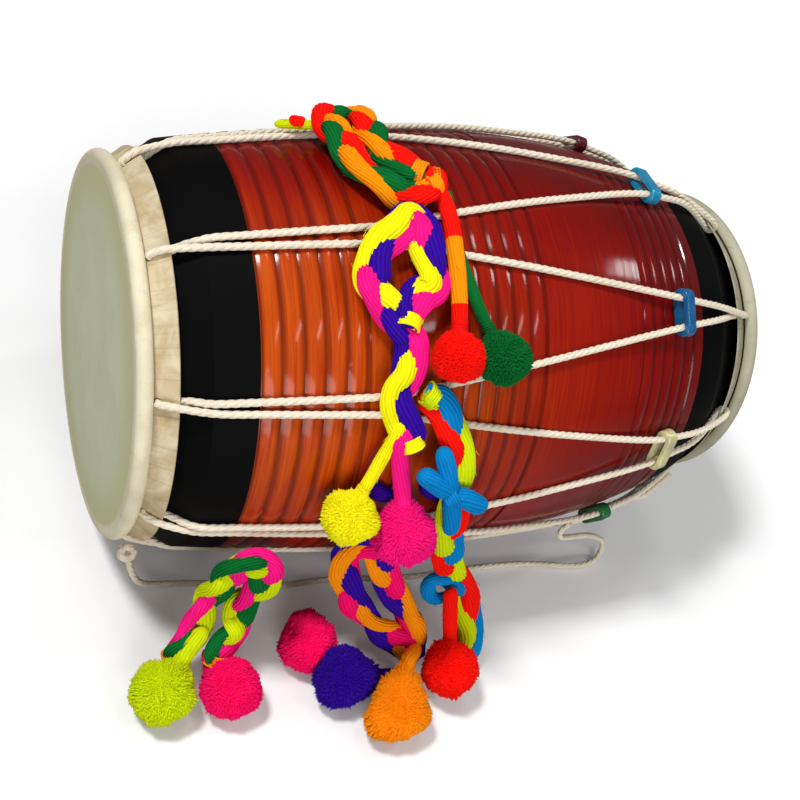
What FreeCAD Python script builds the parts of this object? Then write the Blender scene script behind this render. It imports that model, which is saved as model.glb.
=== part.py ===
"""Barrel drum with two rope-laced heads, tuning rings, a loose rope and yarn tassels.

The drum lies on its side. X runs along its axis from the bass head to the treble head, Y points
away from the viewer, Z is up, and the origin is on the floor under the drum's middle. Millimetres.
Stations are distances from the bass face, and angles turn about the axis from straight up towards
the viewer.
"""
import FreeCAD, Part
import math
import os

Vec = FreeCAD.Vector

# Drum as a whole
drum_length = 615.5
belly_radius = 198.7
bass_mouth_radius = 149.0
treble_mouth_radius = 130.0
wall = 11.0
running_gap = 0.3

# Barrel's profile: stations as shares of the length, radii as shares of the way from mouth to belly
belly_station_share = 0.4963
bass_band_station_share = 0.1452
bass_band_radius_share = 0.678
bass_fullness = 1.81
treble_band_station_share = 0.8473
treble_band_radius_share = 0.632
treble_fullness = 2.42

# Heads
skin_thickness = 1.2
hoop_section_radius = 5.5
hoop_gap = 4.8
collar_thickness = 1.5
collar_width = 21.5
collar_slope = 36.5
collar_seat_angle = -22.0
bearing_edge_width = 7.0
paste_radius = 52.0
paste_thickness = 3.0
paste_edge = 1.0

# Turned beads: the outer groups keep clear of the bevels, and pitches are shares of the length
bass_bead_lead = 35.0
treble_bead_lead = 46.0
middle_bead_station_share = 0.4175
bead_pitch_shares = (0.0276, 0.02535, 0.0221)
bead_depths = (1.6, 1.3, 1.3)
beads_in_group = 5

# Lacing
lacing_points = 9
bass_first_angle = -20.0
treble_first_angle = -40.0
rope_diameter = 6.4
strand_spacing = 62.0
strand_corner_lift = 0.45
arc_reach_share = 0.45
hook_set_back = 8.6
hook_straight = 4.5
over_lead = 19.0
over_edge_lift = 0.8
under_lead = 26.0
bevel_corner_lift = 1.6
hook_spread = 1.25
tie_station_share = 0.3168
tie_spread = 2.2
tied_hooks = (0, 1, 2, 3)
hole_clearance = 0.5

# Tuning rings
ring_station_share = 0.7896
ring_travel = 34.0
ring_width = 12.0
ring_bar = 4.5
ring_edge_round = 1.8
ring_end_margin = 14.0
ring_bend_reach = 12.0
ring_play = 0.5
ring_seat_gap = 0.5

# Rope tail beside the ring that holds it, and the knot that starts the loose rope
tail_ring = 4
tail_start_lead = 17.0
tail_over_lead = 16.0
tail_drop_lead = 7.0
tail_bend_lead = 16.0
tail_exit_lead = 30.0
tail_exit_drop = 1.0
tail_over_lift = 7.3
knot_hook = 4
knot_radius = 9.0
knot_set_back = 26.4
knot_lift = 15.8

# Route of the loose rope on the floor, from the knot to the tail
loose_rope_route = [
    (-280.5, -122.0, 52.6),
    (-276.0, -125.5, 34.0),
    (-266.0, -126.0, 17.0),
    (-248.0, -121.0, 5.0),
    (-226.0, -122.0, 3.4),
    (-187.0, -128.0, 3.4),
    (-139.0, -140.0, 3.4),
    (-88.0, -138.0, 3.4),
    (-37.0, -144.0, 3.4),
    (18.0, -150.0, 3.4),
    (72.0, -148.0, 3.4),
    (122.0, -149.0, 3.4),
    (165.0, -154.0, 3.4),
    (200.0, -163.0, 3.4),
    (226.0, -163.0, 3.4),
    (244.0, -153.0, 7.0),
    (242.0, -148.0, 24.0),
    (224.0, -150.0, 37.0),
    (204.0, -156.0, 52.0),
    (182.0, -164.0, 66.0),
    (160.0, -171.0, 77.0),
    (141.0, -176.0, 86.0),
    (136.0, -175.0, 98.0),
    (147.0, -172.0, 104.5),
]

# Yarn braids, each a route of its centreline
braid_diameter = 19.0
braid_routes = {
    "braid_top": [
        (-75, -41, 415),
        (-98, -49, 412),
        (-123, -40, 412),
        (-142, -20, 413),
        (-149, 6, 412),
        (-147, 35, 408),
        (-135, 55, 403),
        (-115, 57, 405.4),
        (-103, 39, 410.4),
        (-99, 15, 415),
        (-92, -8, 417),
        (-75, -23, 417),
    ],
    "braid_centre": [
        (-109, -197, 290),
        (-113, -183, 315),
        (-117, -166, 338),
        (-125, -149, 357),
        (-140, -131, 370),
        (-148, -108, 383),
        (-139, -86, 394),
        (-119, -75, 401),
        (-98, -81, 401),
        (-85, -98, 396),
        (-85, -117, 385),
        (-93, -134, 373),
    ],
    "braid_front": [
        (-88, -183.4, 311.5),
        (-74, -193.4, 295.5),
        (-65, -207, 275),
        (-61, -216, 248),
        (-54, -222, 215),
        (-39, -223, 177),
        (-23, -223, 137),
        (-9, -223, 98),
        (5, -221, 61),
        (24, -222, 31),
        (42, -226, 13),
        (47, -242, 10.5),
    ],
    "braid_floor": [
        (-34, -249, 10.5),
        (-39, -230, 12),
        (-58, -216, 19),
        (-89, -210, 43),
        (-113, -209, 80),
        (-127, -208, 120),
        (-126, -206, 154),
        (-108, -206.4, 171),
        (-86, -206.8, 160),
        (-67, -213, 129),
        (-49, -214, 92),
        (-30, -217, 55),
        (-15, -222, 26),
        (-12, -239, 11),
    ],
    "braid_left": [
        (-229, -208, 10.5),
        (-222, -190, 14),
        (-216, -176, 35),
        (-212, -173, 63),
        (-215, -178, 95),
        (-210.5, -182.5, 126),
        (-195.5, -185.8, 144),
        (-177.5, -186, 133),
        (-170, -184, 102),
        (-170, -183, 67),
        (-181, -190, 38),
        (-196, -199, 16),
        (-204, -215, 10.5),
    ],
}

# Tassels: neck start, pompom centre, pompom radius, neck radius
tassels = {
    "tassel_red_upper": ((-61.0, -51.6, 412.8), (-75, -173, 354), 21.0, 6.0),
    "tassel_green": ((-48.0, -42.0, 416.5), (-30, -173, 355), 20.5, 4.5),
    "tassel_yellow": ((-113.7, -199.9, 284.7), (-148, -221, 222), 21.5, 5.0),
    "tassel_magenta": ((-102.6, -199.6, 284.9), (-95, -231, 207), 25.0, 6.0),
    "tassel_red_lower": ((-2.0, -238.3, 78.0), (-4, -276, 38), 26.5, 6.5),
    "tassel_orange": ((-14.0, -247.0, 8.5), (-62, -305, 26.6), 28.0, 7.0),
    "tassel_indigo": ((-39.5, -256.6, 7.6), (-108, -257, 25.7), 27.0, 6.0),
    "tassel_pink": ((-49.0, -246.0, 6.5), (-136, -208, 22.9), 24.0, 4.5),
    "tassel_lime": ((-232.0, -215.0, 9.0), (-271, -248, 26.6), 28.0, 7.0),
    "tassel_rose": ((-205.8, -222.4, 9.3), (-211, -256, 23.8), 25.0, 7.0),
}
pompom_flatness_share = 0.94

# Knots and ends of yarn
top_knot_centre = (-64, -32, 417)
top_knot_radius = 13.5
yarn_tip_route = [(-145.3, 58, 402.2), (-157, 63, 398), (-170, 67.5, 393.5)]
yarn_tip_diameter = 8.0
bow_centre = (-60, -236.9, 250)
bow_arm_length = 26.0
bow_arm_radius = 7.0
bow_arm_angles = (20.0, 110.0, 200.0, 290.0)

# Sizes that follow
belly_station = belly_station_share * drum_length
bass_band_station = bass_band_station_share * drum_length
bass_band_radius = bass_mouth_radius + bass_band_radius_share * (belly_radius - bass_mouth_radius)
treble_band_station = treble_band_station_share * drum_length
treble_band_radius = treble_mouth_radius + treble_band_radius_share * (belly_radius - treble_mouth_radius)
tie_station = tie_station_share * drum_length
ring_station = ring_station_share * drum_length
rope_radius = rope_diameter / 2
rope_lift = rope_radius + running_gap
lap_radius = hoop_section_radius + skin_thickness
hoop_station = lap_radius
hoop_offset = hoop_gap + lap_radius
angle_step = 360.0 / lacing_points


def barrel_radius(station):
    """Outer radius of the turned barrel, belly to ends, without its beads and bevelled mouths."""
    away = station - belly_station
    if away < 0:
        run = belly_station - bass_band_station
        return belly_radius - (belly_radius - bass_band_radius) * (-away / run) ** bass_fullness
    run = treble_band_station - belly_station
    return belly_radius - (belly_radius - treble_band_radius) * (away / run) ** treble_fullness


def barrel_slope(station):
    step = wall / 10
    return (barrel_radius(station + step) - barrel_radius(station - step)) / (2 * step)


def collar_frame(mouth_radius):
    """Start of a collar's outer face, its direction away from the face, and its outward normal."""
    seat = math.radians(collar_seat_angle)
    reach = lap_radius + running_gap
    start = (hoop_station + reach * math.cos(seat), mouth_radius + hoop_offset + reach * math.sin(seat))
    slope = math.radians(collar_slope)
    along = (math.cos(slope), math.sin(slope))
    normal = (-math.sin(slope), math.cos(slope))
    return start, along, normal


def collar_point(mouth_radius, along_by, out_by):
    """A point of the head's section, set out from the collar's start."""
    start, along, normal = collar_frame(mouth_radius)
    return (
        start[0] + along_by * along[0] + out_by * normal[0],
        start[1] + along_by * along[1] + out_by * normal[1],
    )


def bevel(mouth_radius, is_treble):
    """Depth of the bevel's foot on the mouth cylinder, and depth and radius where it meets the barrel."""
    under_rope = -(collar_thickness + 2 * rope_lift + running_gap)
    foot = collar_point(mouth_radius, 0, under_rope)
    slope = math.tan(math.radians(collar_slope))
    foot_depth = foot[0] - (foot[1] - mouth_radius) / slope
    depth = foot_depth
    step = wall / 20
    while True:
        station = drum_length - depth if is_treble else depth
        radius = mouth_radius + (depth - foot_depth) * slope
        if radius >= barrel_radius(station):
            return foot_depth, depth, radius
        depth += step


bass_bevel = bevel(bass_mouth_radius, False)
treble_bevel = bevel(treble_mouth_radius, True)
bead_pitches = [share * drum_length for share in bead_pitch_shares]
bead_stations = (
    bass_bevel[1] + bass_bead_lead,
    middle_bead_station_share * drum_length,
    drum_length - treble_bevel[1] - treble_bead_lead - beads_in_group * bead_pitches[2],
)
hook_depth = collar_point(bass_mouth_radius, hook_set_back, 0)[0]
bass_hook_station = hook_depth
treble_hook_station = drum_length - hook_depth

# The straight line that the ring slides along, tangent to the barrel at the middle of its travel
slide_middle = ring_station + ring_travel / 2
slide_slope = barrel_slope(slide_middle)
slide_radius = barrel_radius(slide_middle)
spread_rate = angle_step / 2 / (treble_hook_station - bass_hook_station)
ring_half_turn = math.radians(spread_rate * (treble_hook_station - ring_station))
ring_drop = slide_radius * (1 - math.cos(ring_half_turn))
ring_strand_lift = ring_seat_gap + ring_bar + ring_play + rope_radius + ring_drop


def slide_line(station, lift):
    return slide_radius + (station - slide_middle) * slide_slope + lift


def strand_stations():
    """Stations at which a strand's centreline is set, from the bass bevel to the treble bevel."""
    first = bass_bevel[1]
    release = strand_release()
    count = max(2, round((release - first) / strand_spacing))
    return [first + (release - first) * i / count for i in range(count + 1)]


def strand_release():
    """Station where the strand leaves the barrel and rises in a straight line to the ring."""
    target_station = ring_station - ring_width / 2 - ring_end_margin
    target_radius = slide_line(target_station, ring_strand_lift)
    station = belly_station
    while station < target_station:
        aim = barrel_radius(station) + rope_lift + barrel_slope(station) * (target_station - station)
        if aim <= target_radius:
            return station
        station += wall / 10
    return station


def lowest_strand_radius():
    """Vertical reach of the two strands that share the lowest bass hook."""
    reach = 0.0
    for station in strand_stations():
        turned = math.radians(abs(strand_angle(0, 1, station) - bass_first_angle))
        level = (barrel_radius(station) + rope_lift + strand_corner_lift) * math.cos(turned)
        reach = max(reach, level)
    return reach


def strand_angle(bass_index, side, station):
    """Angle of a strand that leaves bass hook bass_index for the treble hook on that side of it."""
    half_step = angle_step / 2
    tie = tie_spread if bass_index in tied_hooks else spread_rate * (tie_station - bass_hook_station)
    ring_entry = ring_station - ring_width / 2 - ring_end_margin
    knots = [
        (bass_hook_station, 0),
        (bass_bevel[1], hook_spread),
        (tie_station, tie),
        (ring_entry, spread_rate * (ring_entry - bass_hook_station)),
        (treble_hook_station, half_step),
    ]
    turned = half_step
    for (near, near_turn), (far, far_turn) in zip(knots, knots[1:]):
        if station <= far:
            share = max(0, station - near) / (far - near)
            turned = near_turn + share * (far_turn - near_turn)
            break
    return bass_first_angle + angle_step * bass_index + side * turned


axis_height = lowest_strand_radius() + rope_radius


def place(station, radius, angle):
    """World point from a station, a radius and an angle about the drum's axis."""
    turn = math.radians(angle)
    return Vec(
        station - drum_length / 2,
        -radius * math.sin(turn),
        axis_height + radius * math.cos(turn),
    )


def fillet_path(points, report=None, most_reach=math.inf):
    """Straight runs joined by tangent arcs, and the path's length."""
    edges = []
    length = 0.0
    here = points[0]
    for before, corner, after in zip(points, points[1:], points[2:]):
        run_in = corner - before
        run_out = after - corner
        turn = run_in.getAngle(run_out)
        reach = min(arc_reach_share * min(run_in.Length, run_out.Length), most_reach)
        radius = reach / math.tan(turn / 2)
        if report is not None:
            report.append(radius)
        in_dir = Vec(run_in).normalize()
        out_dir = Vec(run_out).normalize()
        start = corner - in_dir * reach
        end = corner + out_dir * reach
        inward = Vec(out_dir - in_dir).normalize()
        middle = corner + inward * (radius / math.cos(turn / 2) - radius)
        edges.append(Part.LineSegment(here, start).toShape())
        edges.append(Part.Arc(start, middle, end).toShape())
        length += (start - here).Length + radius * turn
        here = end
    edges.append(Part.LineSegment(here, points[-1]).toShape())
    length += (points[-1] - here).Length
    return edges, length


def sweep_round(edges, diameter, name=""):
    """A round solid along a smooth chain of edges."""
    wire = Part.Wire(edges)
    first = edges[0]
    start = first.valueAt(first.FirstParameter)
    direction = first.tangentAt(first.FirstParameter)
    ring = Part.Wire([Part.Circle(start, direction, diameter / 2).toShape()])
    solid = wire.makePipeShell([ring], True, False)
    expected = math.pi * diameter ** 2 / 4 * wire.Length
    if abs(solid.Volume / expected - 1) > 0.01 or not solid.isValid():
        print("tube to look at:", name, round(solid.Volume), round(expected), solid.isValid())
    return solid


def tube(points, diameter, name=""):
    radii = []
    edges, length = fillet_path([Vec(*p) for p in points], radii)
    print(f"{name}: length {length:.0f} mm, least radius {min(radii):.1f} mm")
    return sweep_round(edges, diameter, name)


def revolve_section(points_and_edges):
    """A solid turned about the drum's axis from a closed section in the plane above it."""
    face = Part.Face(Part.Wire(points_and_edges))
    solid = face.revolve(Vec(0, 0, axis_height), Vec(1, 0, 0), 360)
    return solid if solid.ShapeType == "Solid" else Part.Solid(solid)


def section_point(station, radius):
    return place(station, radius, 0)


def line(a, b):
    return Part.LineSegment(section_point(*a), section_point(*b)).toShape()


def arc(a, b, c):
    return Part.Arc(section_point(*a), section_point(*b), section_point(*c)).toShape()


def curve(stations, offset):
    """Smooth outline of the barrel through those stations, offset outward."""
    poles = [section_point(s, barrel_radius(s) + offset) for s in stations]
    spline = Part.BSplineCurve()
    spline.interpolate(poles)
    return spline.toShape()


def spaced(first, last, count):
    return [first + (last - first) * i / count for i in range(count + 1)]


def shell():
    """The turned hollow barrel with its bevelled mouths and three groups of beads."""
    foot, top, top_radius = bass_bevel
    t_foot, t_top, t_top_radius = treble_bevel
    bass_end = (skin_thickness, bass_mouth_radius)
    edges = [line(bass_end, (foot, bass_mouth_radius))]
    edges.append(line((foot, bass_mouth_radius), (top, barrel_radius(top))))
    here = top
    for first, pitch, depth in zip(bead_stations, bead_pitches, bead_depths):
        # the plain run ends level with the bead tops, and a step leads down into the first groove
        edges.append(curve(spaced(here, first, 4), 0))
        edges.append(line((first, barrel_radius(first)), (first + depth, barrel_radius(first + depth) - depth)))
        for i in range(beads_in_group):
            a = first + i * pitch + (depth if i == 0 else 0)
            b = first + (i + 1) * pitch - (depth if i == beads_in_group - 1 else 0)
            middle = (a + b) / 2
            edges.append(
                arc(
                    (a, barrel_radius(a) - depth),
                    (middle, barrel_radius(middle)),
                    (b, barrel_radius(b) - depth),
                )
            )
        here = first + beads_in_group * pitch
        edges.append(line((here - depth, barrel_radius(here - depth) - depth), (here, barrel_radius(here))))
    last = drum_length - t_top
    edges.append(curve(spaced(here, last, 3), 0))
    treble_foot = drum_length - t_foot
    treble_end = drum_length - skin_thickness
    edges.append(line((last, barrel_radius(last)), (treble_foot, treble_mouth_radius)))
    edges.append(line((treble_foot, treble_mouth_radius), (treble_end, treble_mouth_radius)))
    edges.append(line((treble_end, treble_mouth_radius), (treble_end, 0)))
    edges.append(line((treble_end, 0), (skin_thickness, 0)))
    edges.append(line((skin_thickness, 0), bass_end))
    return revolve_section(edges).cut(bore())


def bore():
    """The room inside the shell, which leaves its wall and the two bearing edges."""
    under = wall + max(bead_depths)
    bass_lip = mirrored(bore_lip(bass_bevel, bass_mouth_radius, under), False)
    treble_lip = mirrored(bore_lip(treble_bevel, treble_mouth_radius, under), True)
    edges = [
        line((skin_thickness, 0), bass_lip[0]),
        line(bass_lip[0], bass_lip[1]),
        line(bass_lip[1], bass_lip[2]),
        line(bass_lip[2], (bass_bevel[1], barrel_radius(bass_bevel[1]) - under)),
        curve(spaced(bass_bevel[1], drum_length - treble_bevel[1], 6), -under),
        line((drum_length - treble_bevel[1], barrel_radius(drum_length - treble_bevel[1]) - under), treble_lip[2]),
        line(treble_lip[2], treble_lip[1]),
        line(treble_lip[1], treble_lip[0]),
        line(treble_lip[0], (drum_length - skin_thickness, 0)),
        line((drum_length - skin_thickness, 0), (skin_thickness, 0)),
    ]
    return revolve_section(edges)


def bore_lip(mouth_bevel, mouth_radius, under):
    """Depths and radii of the bore inside a bearing edge and, parallel to its bevel, up to the shoulder."""
    foot, _, top_radius = mouth_bevel
    lip_radius = mouth_radius - bearing_edge_width
    shoulder_radius = top_radius - under
    shoulder_depth = foot + (shoulder_radius - lip_radius) / math.tan(math.radians(collar_slope))
    return [(skin_thickness, lip_radius), (foot, lip_radius), (shoulder_depth, shoulder_radius)]


def mirrored(points, is_treble):
    return [(drum_length - s if is_treble else s, r) for s, r in points]


def head_skin(mouth_radius, is_treble):
    """Hide stretched over the mouth and lapped round the outside of its hoop."""
    centre = mouth_radius + hoop_offset
    outer = [
        (0, 0),
        (0, centre),
        (hoop_station, centre + lap_radius),
        (hoop_station + lap_radius, centre),
    ]
    inner = [
        (hoop_station + hoop_section_radius, centre),
        (hoop_station, centre + hoop_section_radius),
        (skin_thickness, centre),
        (skin_thickness, 0),
    ]
    o = mirrored(outer, is_treble)
    i = mirrored(inner, is_treble)
    return revolve_section(
        [
            line(o[0], o[1]),
            arc(o[1], o[2], o[3]),
            line(o[3], i[0]),
            arc(i[0], i[1], i[2]),
            line(i[2], i[3]),
            line(i[3], o[0]),
        ]
    )


def hoop(mouth_radius, is_treble):
    """Bamboo hoop inside the lap of the skin."""
    centre = mouth_radius + hoop_offset
    station = drum_length - hoop_station if is_treble else hoop_station
    torus = Part.makeTorus(centre, hoop_section_radius, Vec(station - drum_length / 2, 0, axis_height), Vec(1, 0, 0))
    return torus


def collar(mouth_radius, is_treble, first_angle):
    """Hide collar behind the hoop, with one lacing hole at each hook."""
    corners = [
        collar_point(mouth_radius, 0, 0),
        collar_point(mouth_radius, collar_width, 0),
        collar_point(mouth_radius, collar_width, -collar_thickness),
        collar_point(mouth_radius, 0, -collar_thickness),
    ]
    c = mirrored(corners, is_treble)
    band = revolve_section([line(c[i], c[(i + 1) % 4]) for i in range(4)])
    turn_radius = (collar_thickness + 2 * rope_lift) / 2
    hole_at = hook_set_back - turn_radius
    reach = collar_thickness + rope_lift
    inside, outside = mirrored(
        [collar_point(mouth_radius, hole_at, -reach), collar_point(mouth_radius, hole_at, reach)], is_treble
    )
    for index in range(lacing_points):
        angle = first_angle + angle_step * index
        low = place(*inside, angle)
        high = place(*outside, angle)
        drill = Part.makeCylinder(rope_radius + hole_clearance, (high - low).Length, low, high - low)
        band = band.cut(drill)
    return band


def paste():
    """Round patch of dark tuning paste on the inside of the bass skin."""
    points = [
        (skin_thickness, 0),
        (skin_thickness, paste_radius),
        (skin_thickness + paste_edge, paste_radius),
        (skin_thickness + paste_thickness, paste_radius - paste_thickness),
        (skin_thickness + paste_thickness, 0),
    ]
    return revolve_section([line(points[i], points[(i + 1) % 5]) for i in range(5)])


def hook_points(mouth_radius, is_treble, over):
    """Section points of a strand's lead at a hook, nearest the hook first."""
    out_by = rope_lift if over else -(collar_thickness + rope_lift)
    lead = over_lead if over else under_lead
    points = [
        collar_point(mouth_radius, hook_set_back, out_by),
        collar_point(mouth_radius, hook_set_back + hook_straight, out_by),
        collar_point(mouth_radius, lead, out_by + (over_edge_lift if over else 0)),
    ]
    return mirrored(points, is_treble)


def strand(bass_index, side, over):
    """One strand from hook to hook, with the two turns through the collars if it lies over them."""
    section = hook_points(bass_mouth_radius, False, over)
    for number, station in enumerate(strand_stations()):
        corner = bevel_corner_lift if number == 0 else strand_corner_lift
        section.append((station, barrel_radius(station) + rope_lift + corner))
    first_line = ring_station - ring_width / 2 - ring_end_margin
    last_line = ring_station + ring_travel + ring_width / 2 + ring_end_margin
    section.append((first_line, slide_line(first_line, ring_strand_lift)))
    section.append((last_line, slide_line(last_line, ring_strand_lift)))
    section.extend(reversed(hook_points(treble_mouth_radius, True, over)))
    points = [place(s, r, strand_angle(bass_index, side, s)) for s, r in section]
    # the ends stay in their hook's own plane, so that the turns through the collar are flat
    bass_angle = strand_angle(bass_index, side, bass_hook_station)
    treble_angle = strand_angle(bass_index, side, treble_hook_station)
    for number, angle in ((0, bass_angle), (1, bass_angle), (-1, treble_angle), (-2, treble_angle)):
        points[number] = place(*section[number], angle)
    if not over:
        points[2] = place(*section[2], bass_angle + side * hook_spread)
    edges, _ = fillet_path(points, most_reach=ring_bend_reach)
    if over:
        edges.insert(0, hook_turn(points[0], bass_mouth_radius, False, bass_angle))
        edges.append(hook_turn(points[-1], treble_mouth_radius, True, treble_angle))
    return sweep_round(edges, rope_diameter, f"strand {bass_index} {side}")


def hook_turn(start, mouth_radius, is_treble, angle):
    """Half turn of the rope from the collar's outside, through its hole, to its inside."""
    turn_radius = (collar_thickness + 2 * rope_lift) / 2
    inner, far = mirrored(
        [
            collar_point(mouth_radius, hook_set_back, -(collar_thickness + rope_lift)),
            collar_point(mouth_radius, hook_set_back - turn_radius, -collar_thickness / 2),
        ],
        is_treble,
    )
    inside = place(*inner, angle)
    apex = place(*far, angle)
    if is_treble:
        return Part.Arc(start, apex, inside).toShape()
    return Part.Arc(inside, apex, start).toShape()


def ring(index):
    """Oval tuning ring round the two strands that meet at a treble hook."""
    angle = treble_first_angle + angle_step * index
    first = ring_station - ring_width / 2
    half_turn = math.radians(spread_rate * (treble_hook_station - first))
    half_gap = slide_line(first, ring_strand_lift) * math.sin(half_turn) + rope_radius + ring_play
    half_height = rope_radius + ring_play
    lift = ring_strand_lift - ring_drop
    back = place(first, slide_line(first, lift), angle)
    last = ring_station + ring_width / 2
    along = (place(last, slide_line(last, lift), angle) - back).normalize()
    turn = math.radians(angle)
    side = Vec(0, -math.cos(turn), -math.sin(turn))
    out = side.cross(along).normalize()
    body = oval_bar(back, side, out, along, half_gap + ring_bar, half_height + ring_bar)
    body = body.makeFillet(ring_edge_round, rim_edges(body, along))
    return body.cut(oval_bar(back, side, out, along, half_gap, half_height))


def oval_bar(start, side, out, along, half_w, half_h):
    """A bar of oval section: two flats joined by half rounds."""
    flat = half_w - half_h
    a = start + side * flat + out * half_h
    b = start - side * flat + out * half_h
    c = start - side * flat - out * half_h
    d = start + side * flat - out * half_h
    left = start - side * half_w
    right = start + side * half_w
    outline = [
        Part.LineSegment(a, b).toShape(),
        Part.Arc(b, left, c).toShape(),
        Part.LineSegment(c, d).toShape(),
        Part.Arc(d, right, a).toShape(),
    ]
    return Part.Face(Part.Wire(outline)).extrude(along * ring_width)


def rim_edges(solid, along):
    """Edges of the bar's two ends."""
    found = []
    for edge in solid.Edges:
        first = edge.valueAt(edge.FirstParameter)
        last = edge.valueAt(edge.LastParameter)
        if abs((last - first).dot(along)) < ring_width / 2:
            found.append(edge)
    return found


def tail():
    """Rope's tail: over the two strands by the treble hook, between them through the ring, then off."""
    angle = treble_first_angle + angle_step * tail_ring
    over = ring_strand_lift + tail_over_lift
    level = ring_strand_lift - ring_drop
    travel_end = ring_station + ring_travel + ring_width / 2
    drop = travel_end + tail_drop_lead
    over_station = drop + tail_over_lead
    start = over_station + tail_start_lead
    bend = ring_station - tail_bend_lead
    leave = ring_station - tail_exit_lead
    route = [
        (start, slide_line(start, over)),
        (over_station, slide_line(over_station, over)),
        (drop, slide_line(drop, level)),
        (bend, slide_line(bend, level)),
        (leave, slide_line(leave, level) - tail_exit_drop),
    ]
    return [place(s, r, angle) for s, r in route]


def tassel(neck_start, centre, radius, neck_radius):
    """A tied neck of yarn that ends in a pompom."""
    middle = Vec(*centre)
    start = Vec(*neck_start)
    ball = Part.makeSphere(radius)
    squash = FreeCAD.Matrix()
    squash.scale(1, 1, pompom_flatness_share)
    ball = ball.transformGeometry(squash)
    reach = middle - start
    # the ball's seam is turned away from its neck
    ball.rotate(Vec(), Vec(0, 0, 1), math.degrees(math.atan2(reach.y, reach.x)))
    ball.translate(middle)
    neck = Part.makeCylinder(neck_radius, reach.Length, start, reach)
    return ball.fuse([neck, Part.makeSphere(neck_radius, start)])


def sphere(centre, radius):
    return Part.makeSphere(radius, Vec(*centre))


def bow():
    """Flat bow of four round-ended arms tied over the front braid."""
    body = None
    for angle in bow_arm_angles:
        turn = math.radians(angle)
        direction = Vec(math.cos(turn), 0, math.sin(turn))
        tip = Vec(*bow_centre) + direction * bow_arm_length
        arm = Part.makeCylinder(bow_arm_radius, bow_arm_length, Vec(*bow_centre), direction)
        arm = arm.fuse(Part.makeSphere(bow_arm_radius, tip))
        body = arm if body is None else body.fuse(arm)
    return body


def save(name, shape):
    shape.exportStep(f"parts/{name}.step")


def main():
    os.makedirs("parts", exist_ok=True)
    print(f"axis height {axis_height:.2f}, hooks at {bass_hook_station:.2f} and {treble_hook_station:.2f}")
    save("shell", shell())
    save("bass_skin", head_skin(bass_mouth_radius, False))
    save("treble_skin", head_skin(treble_mouth_radius, True))
    save("bass_hoop", hoop(bass_mouth_radius, False))
    save("treble_hoop", hoop(treble_mouth_radius, True))
    save("bass_collar", collar(bass_mouth_radius, False, bass_first_angle))
    save("treble_collar", collar(treble_mouth_radius, True, treble_first_angle))
    save("bass_paste", paste())
    for index in range(lacing_points):
        save(f"strand_over_{index + 1}", strand(index, 1, True))
        save(f"strand_under_{index + 1}", strand(index, -1, False))
        save(f"tuning_ring_{index + 1}", ring(index))
    knot_section = collar_point(bass_mouth_radius, knot_set_back, knot_lift)
    knot_centre = place(*knot_section, bass_first_angle + angle_step * knot_hook)
    save("lacing_knot", sphere(knot_centre, knot_radius))
    save("lacing_tail", tube(tail(), rope_diameter, "lacing_tail"))
    save("loose_rope", tube(loose_rope_route, rope_diameter, "loose_rope"))
    for name, route in braid_routes.items():
        save(name, tube(route, braid_diameter, name))
    for name, sizes in tassels.items():
        save(name, tassel(*sizes))
    save("braid_top_knot", sphere(top_knot_centre, top_knot_radius))
    save("yarn_tip", tube(yarn_tip_route, yarn_tip_diameter, "yarn_tip"))
    save("bow_knot", bow())


main()
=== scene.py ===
"""Looks of the barrel drum: turned and varnished shell, hide heads, laid rope, plastic rings, yarn.

Metres. The drum lies along X, the viewer is towards -Y, Z is up. Stations are distances from the bass
face, and angles turn about the drum's axis from straight up towards the viewer.
"""
import math

import bpy
import numpy as np
from mathutils import Matrix, Vector


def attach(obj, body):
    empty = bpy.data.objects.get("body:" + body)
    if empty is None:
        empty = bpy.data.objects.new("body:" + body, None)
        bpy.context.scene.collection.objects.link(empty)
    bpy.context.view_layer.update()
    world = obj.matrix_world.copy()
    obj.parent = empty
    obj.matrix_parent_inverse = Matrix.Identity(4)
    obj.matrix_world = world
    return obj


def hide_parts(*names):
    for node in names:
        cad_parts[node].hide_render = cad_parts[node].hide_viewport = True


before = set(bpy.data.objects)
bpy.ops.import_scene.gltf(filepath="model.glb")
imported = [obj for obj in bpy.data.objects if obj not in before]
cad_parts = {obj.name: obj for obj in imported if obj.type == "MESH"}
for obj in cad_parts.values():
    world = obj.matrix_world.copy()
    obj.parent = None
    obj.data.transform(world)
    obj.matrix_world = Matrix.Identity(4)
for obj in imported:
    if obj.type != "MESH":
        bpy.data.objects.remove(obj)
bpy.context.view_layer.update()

# Drum, as in the frame
drum_length = 0.6155
belly_station = 0.3055
belly_radius = 0.1987
bass_band_station = 0.0894
bass_band_radius = 0.1827
bass_fullness = 1.81
treble_band_station = 0.5215
treble_band_radius = 0.1734
treble_fullness = 2.42
bass_mouth_radius = 0.149
treble_mouth_radius = 0.130
skin_thickness = 0.0012
hoop_section_radius = 0.0055
hoop_gap = 0.0048
collar_thickness = 0.0015
collar_slope = 36.5
collar_seat_angle = -22.0
running_gap = 0.0003
# groups of beads: station of the first groove, pitch, count
bead_groups = [(0.090, 0.017, 5), (0.257, 0.0156, 5), (0.441, 0.0136, 5)]

# Lacing, as in the frame
lacing_points = 9
bass_first_angle = -20.0
treble_first_angle = -40.0
rope_diameter = 0.0064
bevel_corner_lift = 0.0016
bevel_corner_share = 0.8
hook_set_back = 0.0086
hook_straight = 0.0045
hook_straight_share = 0.4
over_lead = 0.019
over_edge_lift = 0.0008
under_lead = 0.026
hook_spread = 1.25
tie_station = 0.195
tie_spread = 2.2
tied_hooks = (0, 1, 2, 3)
ring_station = 0.486
ring_travel = 0.034
ring_width = 0.012
ring_bar = 0.0045
ring_end_margin = 0.014
ring_play = 0.0005
ring_seat_gap = 0.0005

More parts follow.
